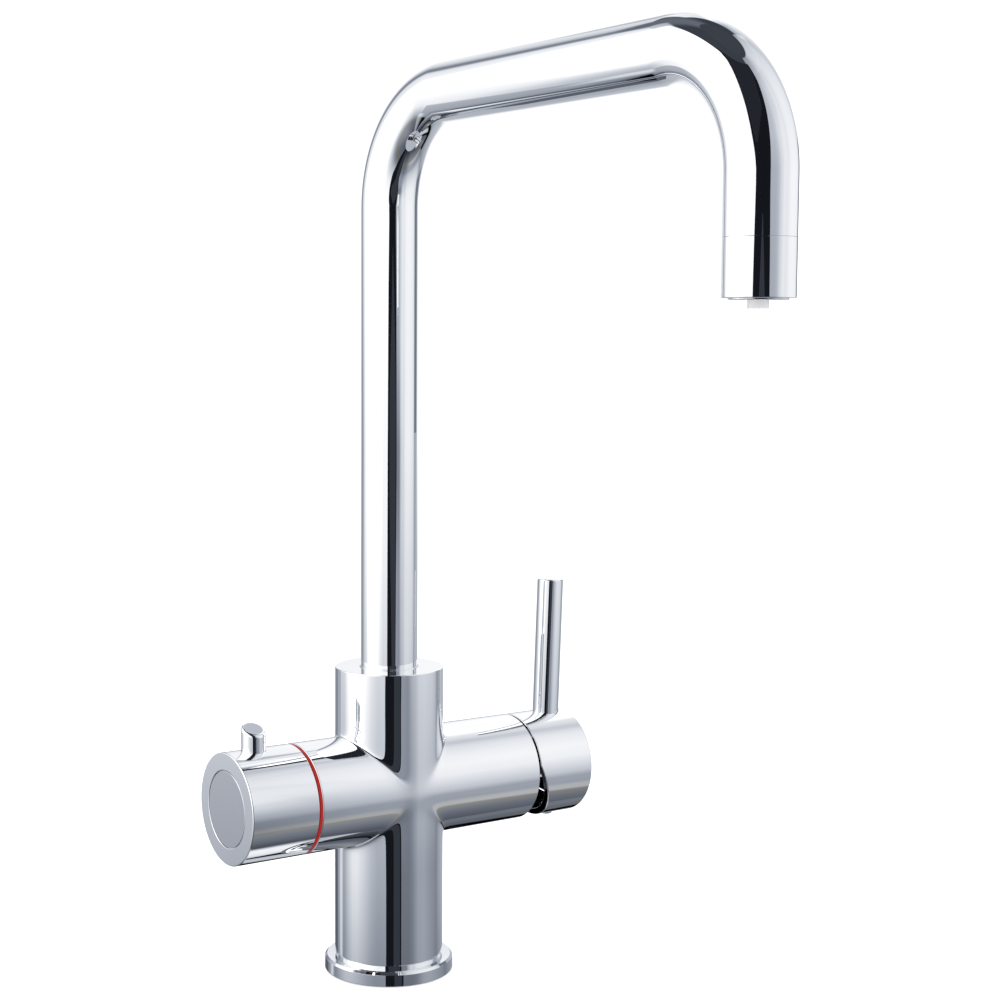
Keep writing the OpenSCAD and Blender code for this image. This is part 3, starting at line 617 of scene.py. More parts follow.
@dataclass
class Casting:
    """The cross shaped body with its base flange and rings."""

    radius: float = 24 * MM
    blend: float = 42e-6
    rim: float = 0.45 * MM
    steps: int = 256
    rows: int = 34
    row_growth: float = 1.6
    rounds: int = 12
    collar: float = high("body_casting").z
    left_end: float = -high("index_ring").x
    left_spigot_end: float = -low("body_casting").x
    left_spigot: float = 20 * MM
    right_end: float = high("body_casting").x
    valve_bore: float = 11 * MM
    valve_depth: float = 22 * MM
    mouth: float = 19.2 * MM
    mouth_depth: float = 57 * MM
    cartridge_bore: float = 17.6 * MM
    cartridge_seat: float = 26 * MM
    socket: float = 13.1 * MM
    socket_floor: float = 102 * MM
    foot: float = 23 * MM
    foot_edge: float = 0.8 * MM
    foot_gap: float = 1 * MM
    foot_spigot: float = 22.5 * MM
    recess: float = 20 * MM
    recess_top: float = 50 * MM
    inlet: float = 4.5 * MM
    inlet_depth: float = 12 * MM
    stud: float = 3.4 * MM
    stud_depth: float = 16 * MM
    mixer_inlets: tuple[float, float] = (7 * MM, 9.5 * MM)
    boiling_inlet: float = -13.5 * MM
    flange_top: float = high("base_flange").z
    flange: float = high("base_flange").x
    flange_edge: float = 1 * MM
    seat_inner: float = 24 * MM
    seat_outer: float = 27 * MM
    seat_top: float = 1.8 * MM
    ring_bore: float = 12.6 * MM
    ring_edge: float = 0.15 * MM
    screw_hole: float = 2.55 * MM
    play: float = 0.03 * MM

    @property
    def seam(self) -> float:
        """The radius of the seam where the column meets the arms."""
        return math.sqrt(self.radius**2 + self.blend / 2)

    def blended(self, first: float, second: float) -> tuple[float, float, float]:
        """Blends two squared distances into the smaller one.

        Args:
            first: The squared distance from the column's middle plane.
            second: The squared distance from the arms' middle plane.

        Returns:
            The blended value and how much of it comes from each.
        """
        gap = first - second
        root = math.sqrt(gap**2 + self.blend**2)
        return (first + second - root) / 2, (1 - gap / root) / 2, (1 + gap / root) / 2

    def reach(self, angle: float, height: float) -> float:
        """Finds the skin, by stepping towards it until it is met.

        Args:
            angle: The angle round a limb's axis.
            height: The distance along it.

        Returns:
            The skin's distance from the axis.
        """
        across, level = math.cos(angle) ** 2, height**2
        square = self.radius**2
        for _ in range(self.rounds):
            value, share, _other = self.blended(square * across, level)
            error = square * (1 - across) + value - self.radius**2
            square -= error / (1 - across + across * share)
        return math.sqrt(square)

    def skin_normal(self, point: Vector) -> Vector:
        """The exact normal of the blended skin at a point."""
        _value, first, second = self.blended(point.x**2, (point.z - ARM_Z) ** 2)
        return Vector((point.x * first, point.y, (point.z - ARM_Z) * second)).normalized()

    def sheet(self, draft: Draft, axis: Axis, end: float) -> None:
        """Draws the skin of one limb, from the seam to its end.

        Args:
            draft: The mesh that it is added to.
            axis: The limb's axis from the crossing outwards.
            end: The limb's length from the crossing.
        """
        grid: list[list[Vert]] = []
        for step in range(self.steps):
            angle = FULL_TURN * step / self.steps
            seam = self.seam * abs(math.cos(angle))
            line = []
            for row in range(self.rows + 1):
                height = seam + (end - seam) * (row / self.rows) ** self.row_growth
                out = self.reach(angle, height) if row else self.seam
                line.append(draft.mesh.verts.new(axis.point(height, out, angle)))
            grid.append(line)
        for here, there in zip(grid, grid[1:] + grid[:1]):
            for row in range(self.rows):
                corners = [here[row], there[row], there[row + 1], here[row + 1]]
                draft.face(corners, [self.skin_normal(vertex.co) for vertex in corners])

    def body(self) -> None:
        """Builds the body: four limbs of skin, each closed by what lies inside its end."""
        edge, round_edge, floor = self.rim, self.rim * 0.999, self.socket_floor - ARM_Z
        top, step = self.collar - ARM_Z, ARM_Z - self.flange_top - self.foot_gap
        flange, recess = ARM_Z - self.flange_top, ARM_Z - self.recess_top
        crossing = upright(z=ARM_Z)
        limbs = (
            (crossing, [
                (top - edge, self.radius), (top, self.radius, round_edge),
                (top, self.socket, 0.2 * MM), (floor, self.socket), (floor, 0),
            ]),
            (Axis(crossing.origin, -UP, EAST), [
                (step - self.foot_edge, self.radius),
                (step, self.radius - self.foot_edge, 0.15 * MM), (step, self.foot),
                (flange, self.foot), (flange, self.foot_spigot), (ARM_Z, self.foot_spigot),
                (ARM_Z, self.recess), (recess, self.recess), (recess, 0),
            ]),
            (LEFT, [
                (self.left_end - edge, self.radius), (self.left_end, self.radius, round_edge),
                (self.left_end, self.left_spigot),
                (self.left_spigot_end, self.left_spigot, 0.3 * MM),
                (self.left_spigot_end, self.valve_bore), (self.valve_depth, self.valve_bore),
                (self.valve_depth, 0),
            ]),
            (RIGHT, [
                (self.right_end - edge, self.radius), (self.right_end, self.radius, round_edge),
                (self.right_end, self.mouth, 0.3 * MM), (self.mouth_depth, self.mouth),
                (self.mouth_depth, self.cartridge_bore),
                (self.cartridge_seat, self.cartridge_bore), (self.cartridge_seat, 0),
            ]),
        )
        draft = Draft()
        for axis, corners in limbs:
            self.sheet(draft, axis, corners[0][0])
        for axis, corners in limbs:
            draft.lathe(axis, corners, closed=False, count=self.steps)
        made = draft.finished("tap_body_skin", merge=0.012 * MM)
        self.bores(made)
        dress(made, Slot.CHROME, Body.TAP, "body_casting")

    def bores(self, body: Piece) -> None:
        """Cuts the inlets, the stud's hole and the retaining screw's hole.

        Args:
            body: The body.
        """
        inlet_x, inlet_y = self.mixer_inlets
        for x, y, radius, depth in (
            (0, 0, self.stud, self.stud_depth),
            (inlet_x, inlet_y, self.inlet, self.inlet_depth),
            (inlet_x, -inlet_y, self.inlet, self.inlet_depth),
            (self.boiling_inlet, 0, self.inlet, self.inlet_depth),
        ):
            drill(body, upright(x, y), radius, self.recess_top - MM, self.recess_top + depth, 64)
        height = middle("spout_retaining_screw").z
        screw = Axis(Vector((0, 0, height)), Vector((0, 1, 0)), UP)
        drill(body, screw, self.screw_hole, self.socket - MM, self.radius + MM, 64)

    def rings(self) -> None:
        """Builds the base ring, the thin ring round the spout's foot and the red ring."""
        bore, edge, slope = self.foot_spigot + self.play, self.ring_edge, 0.12 * MM
        base = turned("base_ring", SWIVEL, [
            (0, bore), (0, self.seat_inner), (self.seat_top, self.seat_inner),
            (self.seat_top, self.seat_outer), (0, self.seat_outer), (0, self.flange, 0.2 * MM),
            (self.flange_top - self.flange_edge, self.flange, slope),
            (self.flange_top, self.flange - self.flange_edge, slope), (self.flange_top, bore),
        ], steps=4, count=self.steps)
        dress(base, Slot.CHROME, Body.TAP, "base_flange")
        start, end, outer = low("spout_top_ring").z, high("spout_top_ring").z, high("spout_top_ring").x
        foot = turned("spout_foot_ring", SWIVEL, [
            (start, self.ring_bore), (start, outer), (end, outer, edge), (end, self.ring_bore, edge),
        ], steps=4, count=self.steps)
        dress(foot, Slot.CHROME, Body.TAP, "spout_top_ring")
        start, end, outer = -high("index_ring").x, -low("index_ring").x, high("index_ring").y
        bore = self.left_spigot + self.play
        red = turned("boiling_side_ring", LEFT, [
            (start, bore), (start, outer, edge), (end, outer, edge), (end, bore),
        ], steps=4, count=self.steps)
        dress(red, Slot.RED_PLASTIC, Body.TAP, "index_ring")

    def build(self) -> None:
        """Builds every piece of the casting that shows."""
        self.body()
        self.rings()


# --- spout ---


@dataclass
class Spout:
    """The swivel spout's tube, swept by Geometry Nodes along its line."""

    radius: float = high("spout_tube").x
    bend: float = 45 * MM
    foot: float = low("spout_tube").z
    line_top: float = high("spout_tube").z - high("spout_tube").x
    reach: float = -low("nozzle_sleeve").y - high("spout_tube").x
    end: float = high("nozzle_sleeve").z + 0.03 * MM
    sides: int = 176
    bend_steps: int = 60

    @staticmethod
    def sweep(tree: Tree, given: Outputs) -> Node:
        """Adds the nodes that round a line's corners and sweep a tube along it.

        Args:
            tree: The tree.
            given: Its inputs.

        Returns:
            The last of the nodes.
        """
        fillet = add_node(tree, "GeometryNodeFilletCurve", {
            "Curve": add_node(tree, "GeometryNodeMeshToCurve", {"Mesh": given["Geometry"]}),
            "Radius": given["Bend Radius"], "Count": given["Bend Steps"], "Limit Radius": True,
        }, mode="POLY")
        profile = add_node(tree, "GeometryNodeCurvePrimitiveCircle", {
            "Resolution": given["Sides"], "Radius": given["Tube Radius"],
        })
        return add_node(tree, "GeometryNodeCurveToMesh", {
            "Curve": fillet, "Profile Curve": profile, "Fill Caps": True,
        })

    def centre(self, point: Vector) -> Vector:
        """Finds the point of the spout's line that is nearest to a point.

        Args:
            point: The point.

        Returns:
            Its nearest point on the riser, a bend, the level run or the drop.
        """
        rise = self.line_top - self.bend
        if point.z <= rise:
            return Vector((0, 0 if point.y > -self.reach / 2 else -self.reach, point.z))
        for turn_y, side in ((-self.bend, 1), (self.bend - self.reach, -1)):
            if (point.y - turn_y) * side > 0:
                hub = Vector((0, turn_y, rise))
                return hub + Vector((0, point.y - turn_y, point.z - rise)).normalized() * self.bend
        return Vector((0, point.y, self.line_top))

    def build(self) -> None:
        """Builds the spout's tube."""
        tube = plain("spout_tube_skin", [
            (0, 0, self.foot), (0, 0, self.line_top), (0, -self.reach, self.line_top),
            (0, -self.reach, self.end),
        ], edges=[(0, 1), (1, 2), (2, 3)])
        grow(tube, "tube_sweep", {
            "Tube Radius": self.radius, "Bend Radius": self.bend, "Bend Steps": self.bend_steps,
            "Sides": self.sides, "Finish": FINISHES[Slot.CHROME].material(),
        }, self.sweep)
        shape = bmesh.new()
        shape.from_mesh(tube.data)
        bmesh.ops.recalc_face_normals(shape, faces=shape.faces)
        layer = shape.loops.layers.float_vector.new(NORMAL_LAYER)
        for face in shape.faces:
            for loop in face.loops:
                spot = loop.vert.co
                loop[layer] = (spot - self.centre(spot)).normalized()
        shape.to_mesh(tube.data)
        shape.free()
        dress(tube, Slot.CHROME, Body.SPOUT, "spout_tube")


@dataclass
class Nozzle:
    """The outlet: a sleeve, the insert with its ring of jets and the boiling water tip."""

    radius: float = high("nozzle_sleeve").x
    bottom: float = low("nozzle_sleeve").z
    top: float = high("nozzle_sleeve").z
    centre_y: float = middle("nozzle_sleeve").y
    wall: float = 1.9 * MM
    lip: float = 2 * MM
    edge: float = 0.4 * MM
    insert: float = 10.1 * MM
    insert_low: float = low("flow_insert").z
    insert_high: float = high("flow_insert").z
    tip: float = 3.6 * MM
    tip_bore: float = 2 * MM
    tip_socket: float = 4.03 * MM
    tip_step: float = 3 * MM
    tip_seat: float = 5 * MM
    tip_low: float = low("boil_tip").z
    jets: int = 12
    jet: float = 0.9 * MM
    jet_sides: int = 32
    jet_pitch: float = 7.65 * MM

    @property
    def axis(self) -> Axis:
        """The outlet's axis."""
        return upright(y=self.centre_y)

    def sleeve(self) -> None:
        """Builds the sleeve."""
        bore, mouth, lip = self.radius - self.wall, self.insert + 0.05 * MM, self.bottom + self.lip
        made = turned("outlet_sleeve", self.axis, [
            (self.bottom, mouth, 0.15 * MM), (self.bottom, self.radius, self.edge),
            (self.top, self.radius, 0.18 * MM), (self.top, bore), (lip, bore), (lip, mouth),
        ])
        dress(made, Slot.CHROME, Body.SPOUT, "nozzle_sleeve")

    def flow_insert(self) -> None:
        """Builds the insert and cuts its jets, which Geometry Nodes set out in a ring."""
        hole, flange = self.tip + 0.03 * MM, self.radius - self.wall - 0.2 * MM
        step = self.bottom + self.lip + 0.03 * MM
        made = turned("outlet_insert", self.axis, [
            (self.insert_low, hole, 0.2 * MM), (self.insert_low, self.insert, 0.3 * MM),
            (step, self.insert), (step, flange), (self.insert_high, flange),
            (self.insert_high, hole),
        ])
        rods = plain("jet_rods")
        grow(rods, "jet_ring", {
            "Jets": self.jets, "Pitch Radius": self.jet_pitch, "Jet Radius": self.jet,
            "Jet Sides": self.jet_sides, "Depth": self.insert_high - self.insert_low + 2 * MM,
            "Middle": Vector((0, self.centre_y, (self.insert_high + self.insert_low) / 2)),
            "Finish": FINISHES[Slot.STEEL].material(),
        }, self.ring)
        cut(made, rods)
        dress(made, Slot.STEEL, Body.SPOUT, "flow_insert")

    @staticmethod
    def ring(tree: Tree, given: Outputs) -> Node:
        """Adds the nodes that set rods out in a ring.

        Args:
            tree: The tree.
            given: Its inputs.

        Returns:
            The last of the nodes.
        """
        places = add_node(tree, "GeometryNodeMeshCircle", {
            "Vertices": given["Jets"], "Radius": given["Pitch Radius"],
        })
        rod = add_node(tree, "GeometryNodeMeshCylinder", {
            "Vertices": given["Jet Sides"], "Radius": given["Jet Radius"], "Depth": given["Depth"],
        })
        spread = add_node(tree, "GeometryNodeInstanceOnPoints", {"Points": places, "Instance": rod})
        return add_node(tree, "GeometryNodeTransform", {
            "Geometry": spread, "Translation": given["Middle"],
        })

    def boil_tip(self) -> None:
        """Builds the boiling water tip."""
        step, seat = self.bottom + self.tip_step, self.bottom + self.tip_seat
        top, head = high("boil_tip").z, high("boil_tip").x
        made = turned("boiling_tip", self.axis, [
            (self.tip_low, self.tip_bore, 0.2 * MM), (self.tip_low, self.tip, 0.35 * MM),
            (step, self.tip), (step, head), (top, head), (top, self.tip_socket),
            (seat, self.tip_socket), (seat, self.tip_bore),
        ], count=96)
        dress(made, Slot.WHITE_PLASTIC, Body.SPOUT, "boil_tip")

    def build(self) -> None:
        """Builds every piece of the outlet."""
        self.sleeve()
        self.flow_insert()
        self.boil_tip()


# --- handles ---


@dataclass
class BoilingHandle:
    """The handle on the left arm, with its end disc, its safety button and the button's spring."""

    radius: float = 24 * MM
    cavity: float = 20.6 * MM
    start: float = -high("boil_handle_shell").x
    end: float = -low("boil_handle_shell").x
    wall: float = 4.5 * MM
    disc: float = 16.3 * MM
    disc_groove: float = 0.3 * MM
    disc_seat: float = 1.3 * MM
    mouth_edge: float = 0.4 * MM
    rim: float = 0.55 * MM
    button: float = high("safety_button").y
    button_x: float = middle("safety_button").x
    button_slope: float = math.radians(22)
    button_edge: float = 1.3 * MM
    button_gap: float = 0.12 * MM
    button_travel: float = 4 * MM
    spring_wire: float = 0.35 * MM
    spring_turns: float = 6.0
    spring_steps: int = 40
    wire_sides: int = 14

    def shell(self) -> None:
        """Builds the handle's shell and cuts the button's hole."""
        seat, groove, inner = self.end - self.disc_seat, self.disc + self.disc_groove, self.end - self.wall
        mouth = (self.start, self.cavity, 0.3 * MM)
        draft = Draft()
        draft.lathe(LEFT, [
            mouth, (self.start, self.radius, self.mouth_edge), (self.end, self.radius, self.rim),
            (self.end, groove, 0.28 * MM), (seat, groove), (seat, 0),
        ], closed=False, steps=6, count=256)
        draft.lathe(LEFT, [mouth, (inner, self.cavity), (inner, 0)], closed=False, count=256)
        made = draft.finished("boiling_handle_shell")
        axis = upright(self.button_x, 0, ARM_Z)
        drill(made, axis, self.button + self.button_gap, 15 * MM, 26 * MM, 128)
        dress(made, Slot.CHROME, Body.BOIL_HANDLE, "boil_handle_shell")

    def end_disc(self) -> None:
        """Builds the disc in the handle's end."""
        back, face = -high("boil_handle_disc").x, -low("boil_handle_disc").x
        made = turned("boiling_handle_disc", LEFT, [
            (back, 0), (back, self.disc), (face, self.disc, 0.25 * MM), (face, 0),
        ], closed=False)
        dress(made, Slot.CHROME_DISC, Body.BOIL_HANDLE, "boil_handle_disc")

    def safety_button(self) -> None:
        """Builds the button, whose top slopes down towards the front."""
        foot, slope = low("safety_button").z, math.tan(self.button_slope)
        crest = high("safety_button").z - self.button * slope
        slant = Slant(
            height=lambda point: point.y * slope,
            slope=lambda point: Vector((0, slope, 0)),
            covers=lambda mark: mark.along > foot + 5 * MM,
        )
        made = turned("child_safety_button", upright(self.button_x), [
            (foot, 0), (foot, self.button, 0.3 * MM), (crest, self.button, self.button_edge),
            (crest, 0),
        ], closed=False, steps=8, count=128, slant=slant)
        dress(made, Slot.CHROME, Body.BOIL_BUTTON, "safety_button")

    @staticmethod
    def winding(tree: Tree, given: Outputs) -> Node:
        """Adds the nodes that wind a wire into a spring.

        Args:
            tree: The tree.
            given: Its inputs.

        Returns:
            The last of the nodes.
        """
        coil = add_node(tree, "GeometryNodeCurveSpiral", {
            "Resolution": given["Steps"], "Rotations": given["Turns"], "Height": given["Height"],
            "Start Radius": given["Coil Radius"], "End Radius": given["Coil Radius"],
        })
        wire = add_node(tree, "GeometryNodeCurvePrimitiveCircle", {
            "Resolution": given["Wire Sides"], "Radius": given["Wire Radius"],
        })
        return add_node(tree, "GeometryNodeTransform", {
            "Geometry": add_node(tree, "GeometryNodeCurveToMesh", {
                "Curve": coil, "Profile Curve": wire, "Fill Caps": True,
            }),
            "Translation": given["Foot"],
        })

    def spring(self) -> None:
        """Builds the button's return spring."""
        foot, height = low("button_spring").z, high("button_spring").z - low("button_spring").z
        made = plain("button_return_spring")
        grow(made, "spring_winding", {
            "Wire Radius": self.spring_wire, "Wire Sides": self.wire_sides,
            "Coil Radius": high("button_spring").y - self.spring_wire,
            "Height": height - 2 * self.spring_wire, "Turns": self.spring_turns,
            "Steps": self.spring_steps,
            "Foot": Vector((self.button_x, 0, foot + self.spring_wire)),
            "Finish": FINISHES[Slot.STEEL].material(),
        }, self.winding)
        dress(made, Slot.STEEL, Body.BOIL_HANDLE, "button_spring")
        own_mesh(made)

    def build(self) -> None:
        """Builds every piece of the handle that shows, and the button's spring."""
        self.shell()
        self.end_disc()
        self.safety_button()
        self.spring()


@dataclass
class MixerHandle:
    """The handle on the right arm, with its lever and plug."""

    radius: float = 24 * MM
    cavity: float = 21 * MM
    start: float = low("mixer_handle_shell").x
    end: float = high("mixer_handle_shell").x
    wall: float = 4 * MM
    wedge_tip: float = 4.5 * MM
    wedge: float = math.radians(20)
    mouth_edge: float = 0.4 * MM
    rim: float = 0.8 * MM
    hub: float = 8 * MM
    hub_start: float = 79 * MM
    core: float = 0.0005 * MM
    lever: float = high("lever_pin").y
    lever_lean: float = math.radians(2)
    lever_x: float = 86.7 * MM
    lever_length: float = 62 * MM
    lever_edge: float = 0.7 * MM
    lever_spigot: float = 4 * MM
    lever_seat: float = 18 * MM
    lever_foot: float = 9.5 * MM
    plug: float = high("index_plug").y
    plug_x: float = middle("index_plug").x
    plug_edge: float = 0.4 * MM

    def lever_axis(self) -> Axis:
        """Finds the lever's axis, which leans away from the column.

        Returns:
            The axis, from the height of the arms up.
        """
        along = Vector((math.sin(self.lever_lean), 0, math.cos(self.lever_lean)))
        foot = Vector((self.lever_x - self.radius * math.tan(self.lever_lean), 0, ARM_Z))
        return Axis(foot, along, Vector((along.z, 0, -along.x)))

    def shell(self) -> None:
        """Builds the shell: its mouth leans back below the wedge's tip, to leave room to tilt."""
        slope, tip, inner = math.tan(self.wedge), ARM_Z + self.wedge_tip, self.end - self.wall
        slant = Slant(
            height=lambda point: max(0.0, tip - point.z) * slope,
            slope=lambda point: Vector((0, 0, -slope if point.z < tip else 0)),
            covers=lambda mark: mark.along < self.start + MM,
        )
        made = turned("mixer_handle_skin", RIGHT, [
            (self.start, self.radius, self.mouth_edge), (self.end, self.radius, self.rim),
            (self.end, self.core), (self.end - MM, self.core), (self.hub_start, self.core),
            (self.hub_start, self.hub, 0.2 * MM), (inner, self.hub), (inner, self.cavity),
            (self.start, self.cavity, 0.25 * MM),
        ], steps=6, count=256, slant=slant)
        down = Axis(Vector((self.plug_x, 0, ARM_Z)), -UP, EAST)
        drill(made, down, self.plug + 0.05 * MM, 20 * MM, 26 * MM, 96)
        drill(made, self.lever_axis(), self.lever + 0.04 * MM, 18 * MM, 30 * MM, 128)
        dress(made, Slot.CHROME, Body.MIXER_HANDLE, "mixer_handle_shell")

    def lever_pin(self) -> None:
        """Builds the lever."""
        top = self.radius + self.lever_length
        made = turned("mixer_lever", self.lever_axis(), [
            (self.lever_foot, 0), (self.lever_foot, self.lever_spigot),
            (self.lever_seat, self.lever_spigot), (self.lever_seat, self.lever),
            (top, self.lever, self.lever_edge), (top, 0),
        ], closed=False, steps=8, count=128)
        dress(made, Slot.CHROME, Body.MIXER_HANDLE, "lever_pin")

    def index_plug(self) -> None:
        """Builds the small shiny plug under the handle."""
        foot, top = low("index_plug").z, high("index_plug").z
        made = turned("handle_plug", upright(self.plug_x), [
            (foot, 0), (foot, self.plug, self.plug_edge), (top, self.plug), (top, 0),
        ], closed=False, steps=6, count=96)
        dress(made, Slot.STEEL, Body.MIXER_HANDLE, "index_plug")

    def build(self) -> None:
        """Builds every piece of the handle that shows."""
        self.shell()
        self.lever_pin()
        self.index_plug()


@dataclass
class InnerWorks:
    """The construction's own meshes, which keep their shape and get their finish."""

    def build(self) -> None:
        """Gives each node the finish of its slot in the record."""
        parts = frame["record"]["subparts"]
        for part in parts:
            data = frame["nodes"][part["node"]].data
            material = FINISHES[Slot(part["material_slot"])].material()
            if not data.materials:
                data.materials.append(material)
            for index in range(len(data.materials)):
                data.materials[index] = material
        LOG.info("%d nodes dressed", len(parts))


# --- studio ---


@dataclass(frozen=True)
class Glow:
    """A soft light on the studio's curved wall.

    Args:
        around: Its level at angles round the wall, in degrees.
        up: The share of that which shows at heights, in metres.
    """

    around: Stops
    up: Stops


@dataclass(frozen=True)
class Flag:
    """A card that hangs before the studio's wall.

    Args:
        left: The angle of its left edge at heights.
        right: The angle of its right edge at heights.
        level: How bright it is.
        gap: Its distance from the wall.
    """

    left: Stops
    right: Stops
    level: float
    gap: float = 0.005


GLOWS = (
    Glow(  # left box
        ((117, 0), (119, 0.42), (124, 0.41), (131, 0.42), (144, 0.66), (156, 0.84), (168, 0.85),
         (184, 0.7), (200, 0.52), (214, 0.43), (261, 0.43), (262, 0)),
        ((-1.3, 0.2), (-0.3, 0.36), (-0.22, 0.5), (-0.17, 0.66), (-0.12, 0.91), (-0.05, 1.26),
         (0.03, 1.62), (0.14, 2.25), (0.3, 2.6), (1.15, 2.6), (1.21, 0)),
    ),
    Glow(  # left edge
        ((108, 0), (114, 0.32), (120, 0.32), (125, 0)),
        ((-0.3, 1), (-0.1, 1), (-0.06, 0)),
    ),
    Glow(  # front box
        ((-78, 0), (-68, 0.34), (-56, 0.51), (-38, 0.56), (-22, 0.59), (-12, 0.5), (-4, 0.2),
         (0, 0)),
        ((-0.1, 0), (-0.02, 0.42), (0.08, 0.68), (0.2, 0.92), (0.36, 1.02), (0.6, 0.88),
         (0.9, 0.68), (1.2, 0.44), (1.6, 0.3), (1.7, 0)),
    ),
    Glow(  # front wall
        ((-98, 0.5), (-80, 0.5), (-72, 0.6), (-58, 0.95), (-44, 0.95), (-24, 0.76), (-1, 0.62),
         (0, 0)),
        ((-1.3, 0.08), (-0.85, 0.12), (-0.6, 0.19), (-0.4, 0.26), (-0.31, 0.3), (-0.24, 0.31),
         (-0.21, 0.32), (-0.17, 0.34), (-0.12, 0.38), (0.03, 0.4), (0.2, 0.46), (1.6, 0.46),
         (1.7, 0)),
    ),
    Glow(  # front window
        ((-97, 0.3), (-88, 0.33), (-80, 0.5), (-72, 0.33), (-60, 0)),
        ((0.2, 0), (0.28, 0.6), (0.48, 1), (0.75, 0.9), (1.1, 0.4), (1.6, 0.2), (1.65, 0)),
    ),
    Glow(  # floor line
        ((-70, 0), (-62, 0.06), (-52, 0.15), (-42, 0.2), (-24, 0.2), (-8, 0.1), (0, 0)),
        ((-0.35, 0), (-0.32, 1), (-0.25, 0.9), (-0.2, 0.35), (-0.14, 0.2), (-0.08, 0)),
    ),
    Glow(  # flag side
        ((-98, 0.12), (-88, 0.1), (-78, 0.06), (-69, 0)),
        ((-0.1, 0), (-0.01, 1), (0.11, 1), (0.17, 0)),
    ),
    Glow(  # sash
        ((-83, 0), (-78, 0.9), (-72, 0.9), (-67, 0.12), (-60, 0)),
        ((-0.08, 0), (0.02, 0.1), (0.09, 0.2), (0.15, 0.3), (0.22, 0.33), (0.3, 0.2), (0.38, 0.14),
         (0.48, 0.08), (0.6, 0)),
    ),
    Glow(  # back wall
        ((-1, 0), (0, 0.7), (12, 0.9), (36, 1.1), (46, 1.1), (60, 0.95), (78, 1.05), (86, 0.8),
         (90, 0.45), (97, 0.5), (103, 0.85), (118, 0.95), (119, 0)),
        ((-0.21, 0), (-0.19, 0.3), (-0.17, 0.33), (-0.12, 0.42), (0.1, 0.52), (0.95, 0.52),
         (0.98, 0)),
    ),
    Glow(  # back low
        ((-1, 0), (0, 0.8), (12, 0.8), (22, 0.6), (32, 0.56), (36, 0)),
        ((-1.3, 0.1), (-0.85, 0.2), (-0.36, 0.25), (-0.33, 0)),
    ),
    Glow(  # back box
        ((16, 0), (28, 0.5), (36, 0.52), (66, 0.5), (76, 0.3), (86, 0)),
        ((0.12, 0), (0.2, 0.85), (0.28, 1), (0.6, 0.92), (0.75, 0.62), (0.955, 0.5), (0.98, 0)),
    ),
    Glow(  # right box
        ((-10, 0), (0, 0.33), (20, 0.36), (30, 0.33), (36, 0)),
        ((0.38, 0), (0.46, 1), (0.8, 1), (0.95, 0.8), (0.97, 1.7), (1.12, 1.4), (1.28, 0.9),
         (1.33, 0)),
    ),
    Glow(  # top box
        ((16, 0), (24, 0.3), (34, 0.75), (58, 0.9), (64, 0)),
        ((0.93, 0), (0.98, 1), (1.25, 1), (1.3, 0)),
    ),
    Glow(  # far box
        ((97, 0), (103, 0.35), (118, 0.5), (119, 0)),
        ((0.2, 0), (0.4, 0.85), (0.8, 1.1), (1.02, 1.1), (1.18, 0.9), (1.24, 0)),
    ),
    Glow(  # ceiling wash
        ((-98, 0.05), (50, 0.05), (78, 0.15), (104, 0.15), (125, 0.05), (262, 0.05)),
        ((0.94, 0), (0.985, 1), (2.1, 1)),
    ),
    Glow(  # low right
        ((-24, 0), (-16, 0.5), (-8, 0.9), (24, 0.75), (40, 0.45), (42, 0)),
        ((-1.3, 1), (-0.9, 1), (-0.84, 0)),
    ),
    Glow(  # low back
        ((42, 0), (46, 0.6), (58, 0.6), (62, 0)),
        ((-1, 1), (-0.4, 1), (-0.32, 0)),
    ),
)

FLAGS = {
    "studio_flag": Flag(
        ((-1.3, 233), (-0.12, 232.5), (0.02, 229.5), (0.2, 230.5), (0.31, 232.5), (0.36, 235),
         (0.42, 232), (0.5, 226.5), (0.7, 219), (0.9, 212), (1.05, 205), (1.2, 190), (1.25, 186)),
        ((-1.3, 264), (-0.12, 264), (0.02, 262.5), (0.2, 266.5), (0.31, 264), (0.36, 261.5),
         (0.45, 263), (0.6, 266), (0.85, 269.5), (1, 269), (1.25, 268)),
        0.009,
    ),
    "studio_flag_sheen": Flag(
        ((-1.3, 248), (0.05, 248), (0.16, 238), (0.24, 238), (0.3, 246), (0.34, 249)),
        ((-1.3, 262), (0.05, 261), (0.24, 263), (0.3, 256), (0.34, 250)),
        0.04, gap=0.008,
    ),
    "studio_button_flag": Flag(
        ((0.71, 45), (0.86, 45)),
        ((0.71, 58), (0.86, 58)),
        0.55,
    ),
    "studio_right_flag": Flag(
        ((0.21, -6), (0.43, -6)),
        ((0.21, 14), (0.43, 14)),
        0.2,
    ),
    "studio_under_flag": Flag(
        ((-0.2, 68), (-0.02, 68)),
        ((-0.2, 98), (-0.02, 98)),
        0.12,
    ),
    "studio_elbow_sheen": Flag(
        ((0.45, 236), (0.5, 231), (0.7, 221), (0.9, 215), (1.05, 208), (1.25, 190)),
        ((0.45, 240), (0.6, 258), (0.9, 264), (1.25, 266)),
        0.02, gap=0.015,
    ),
}


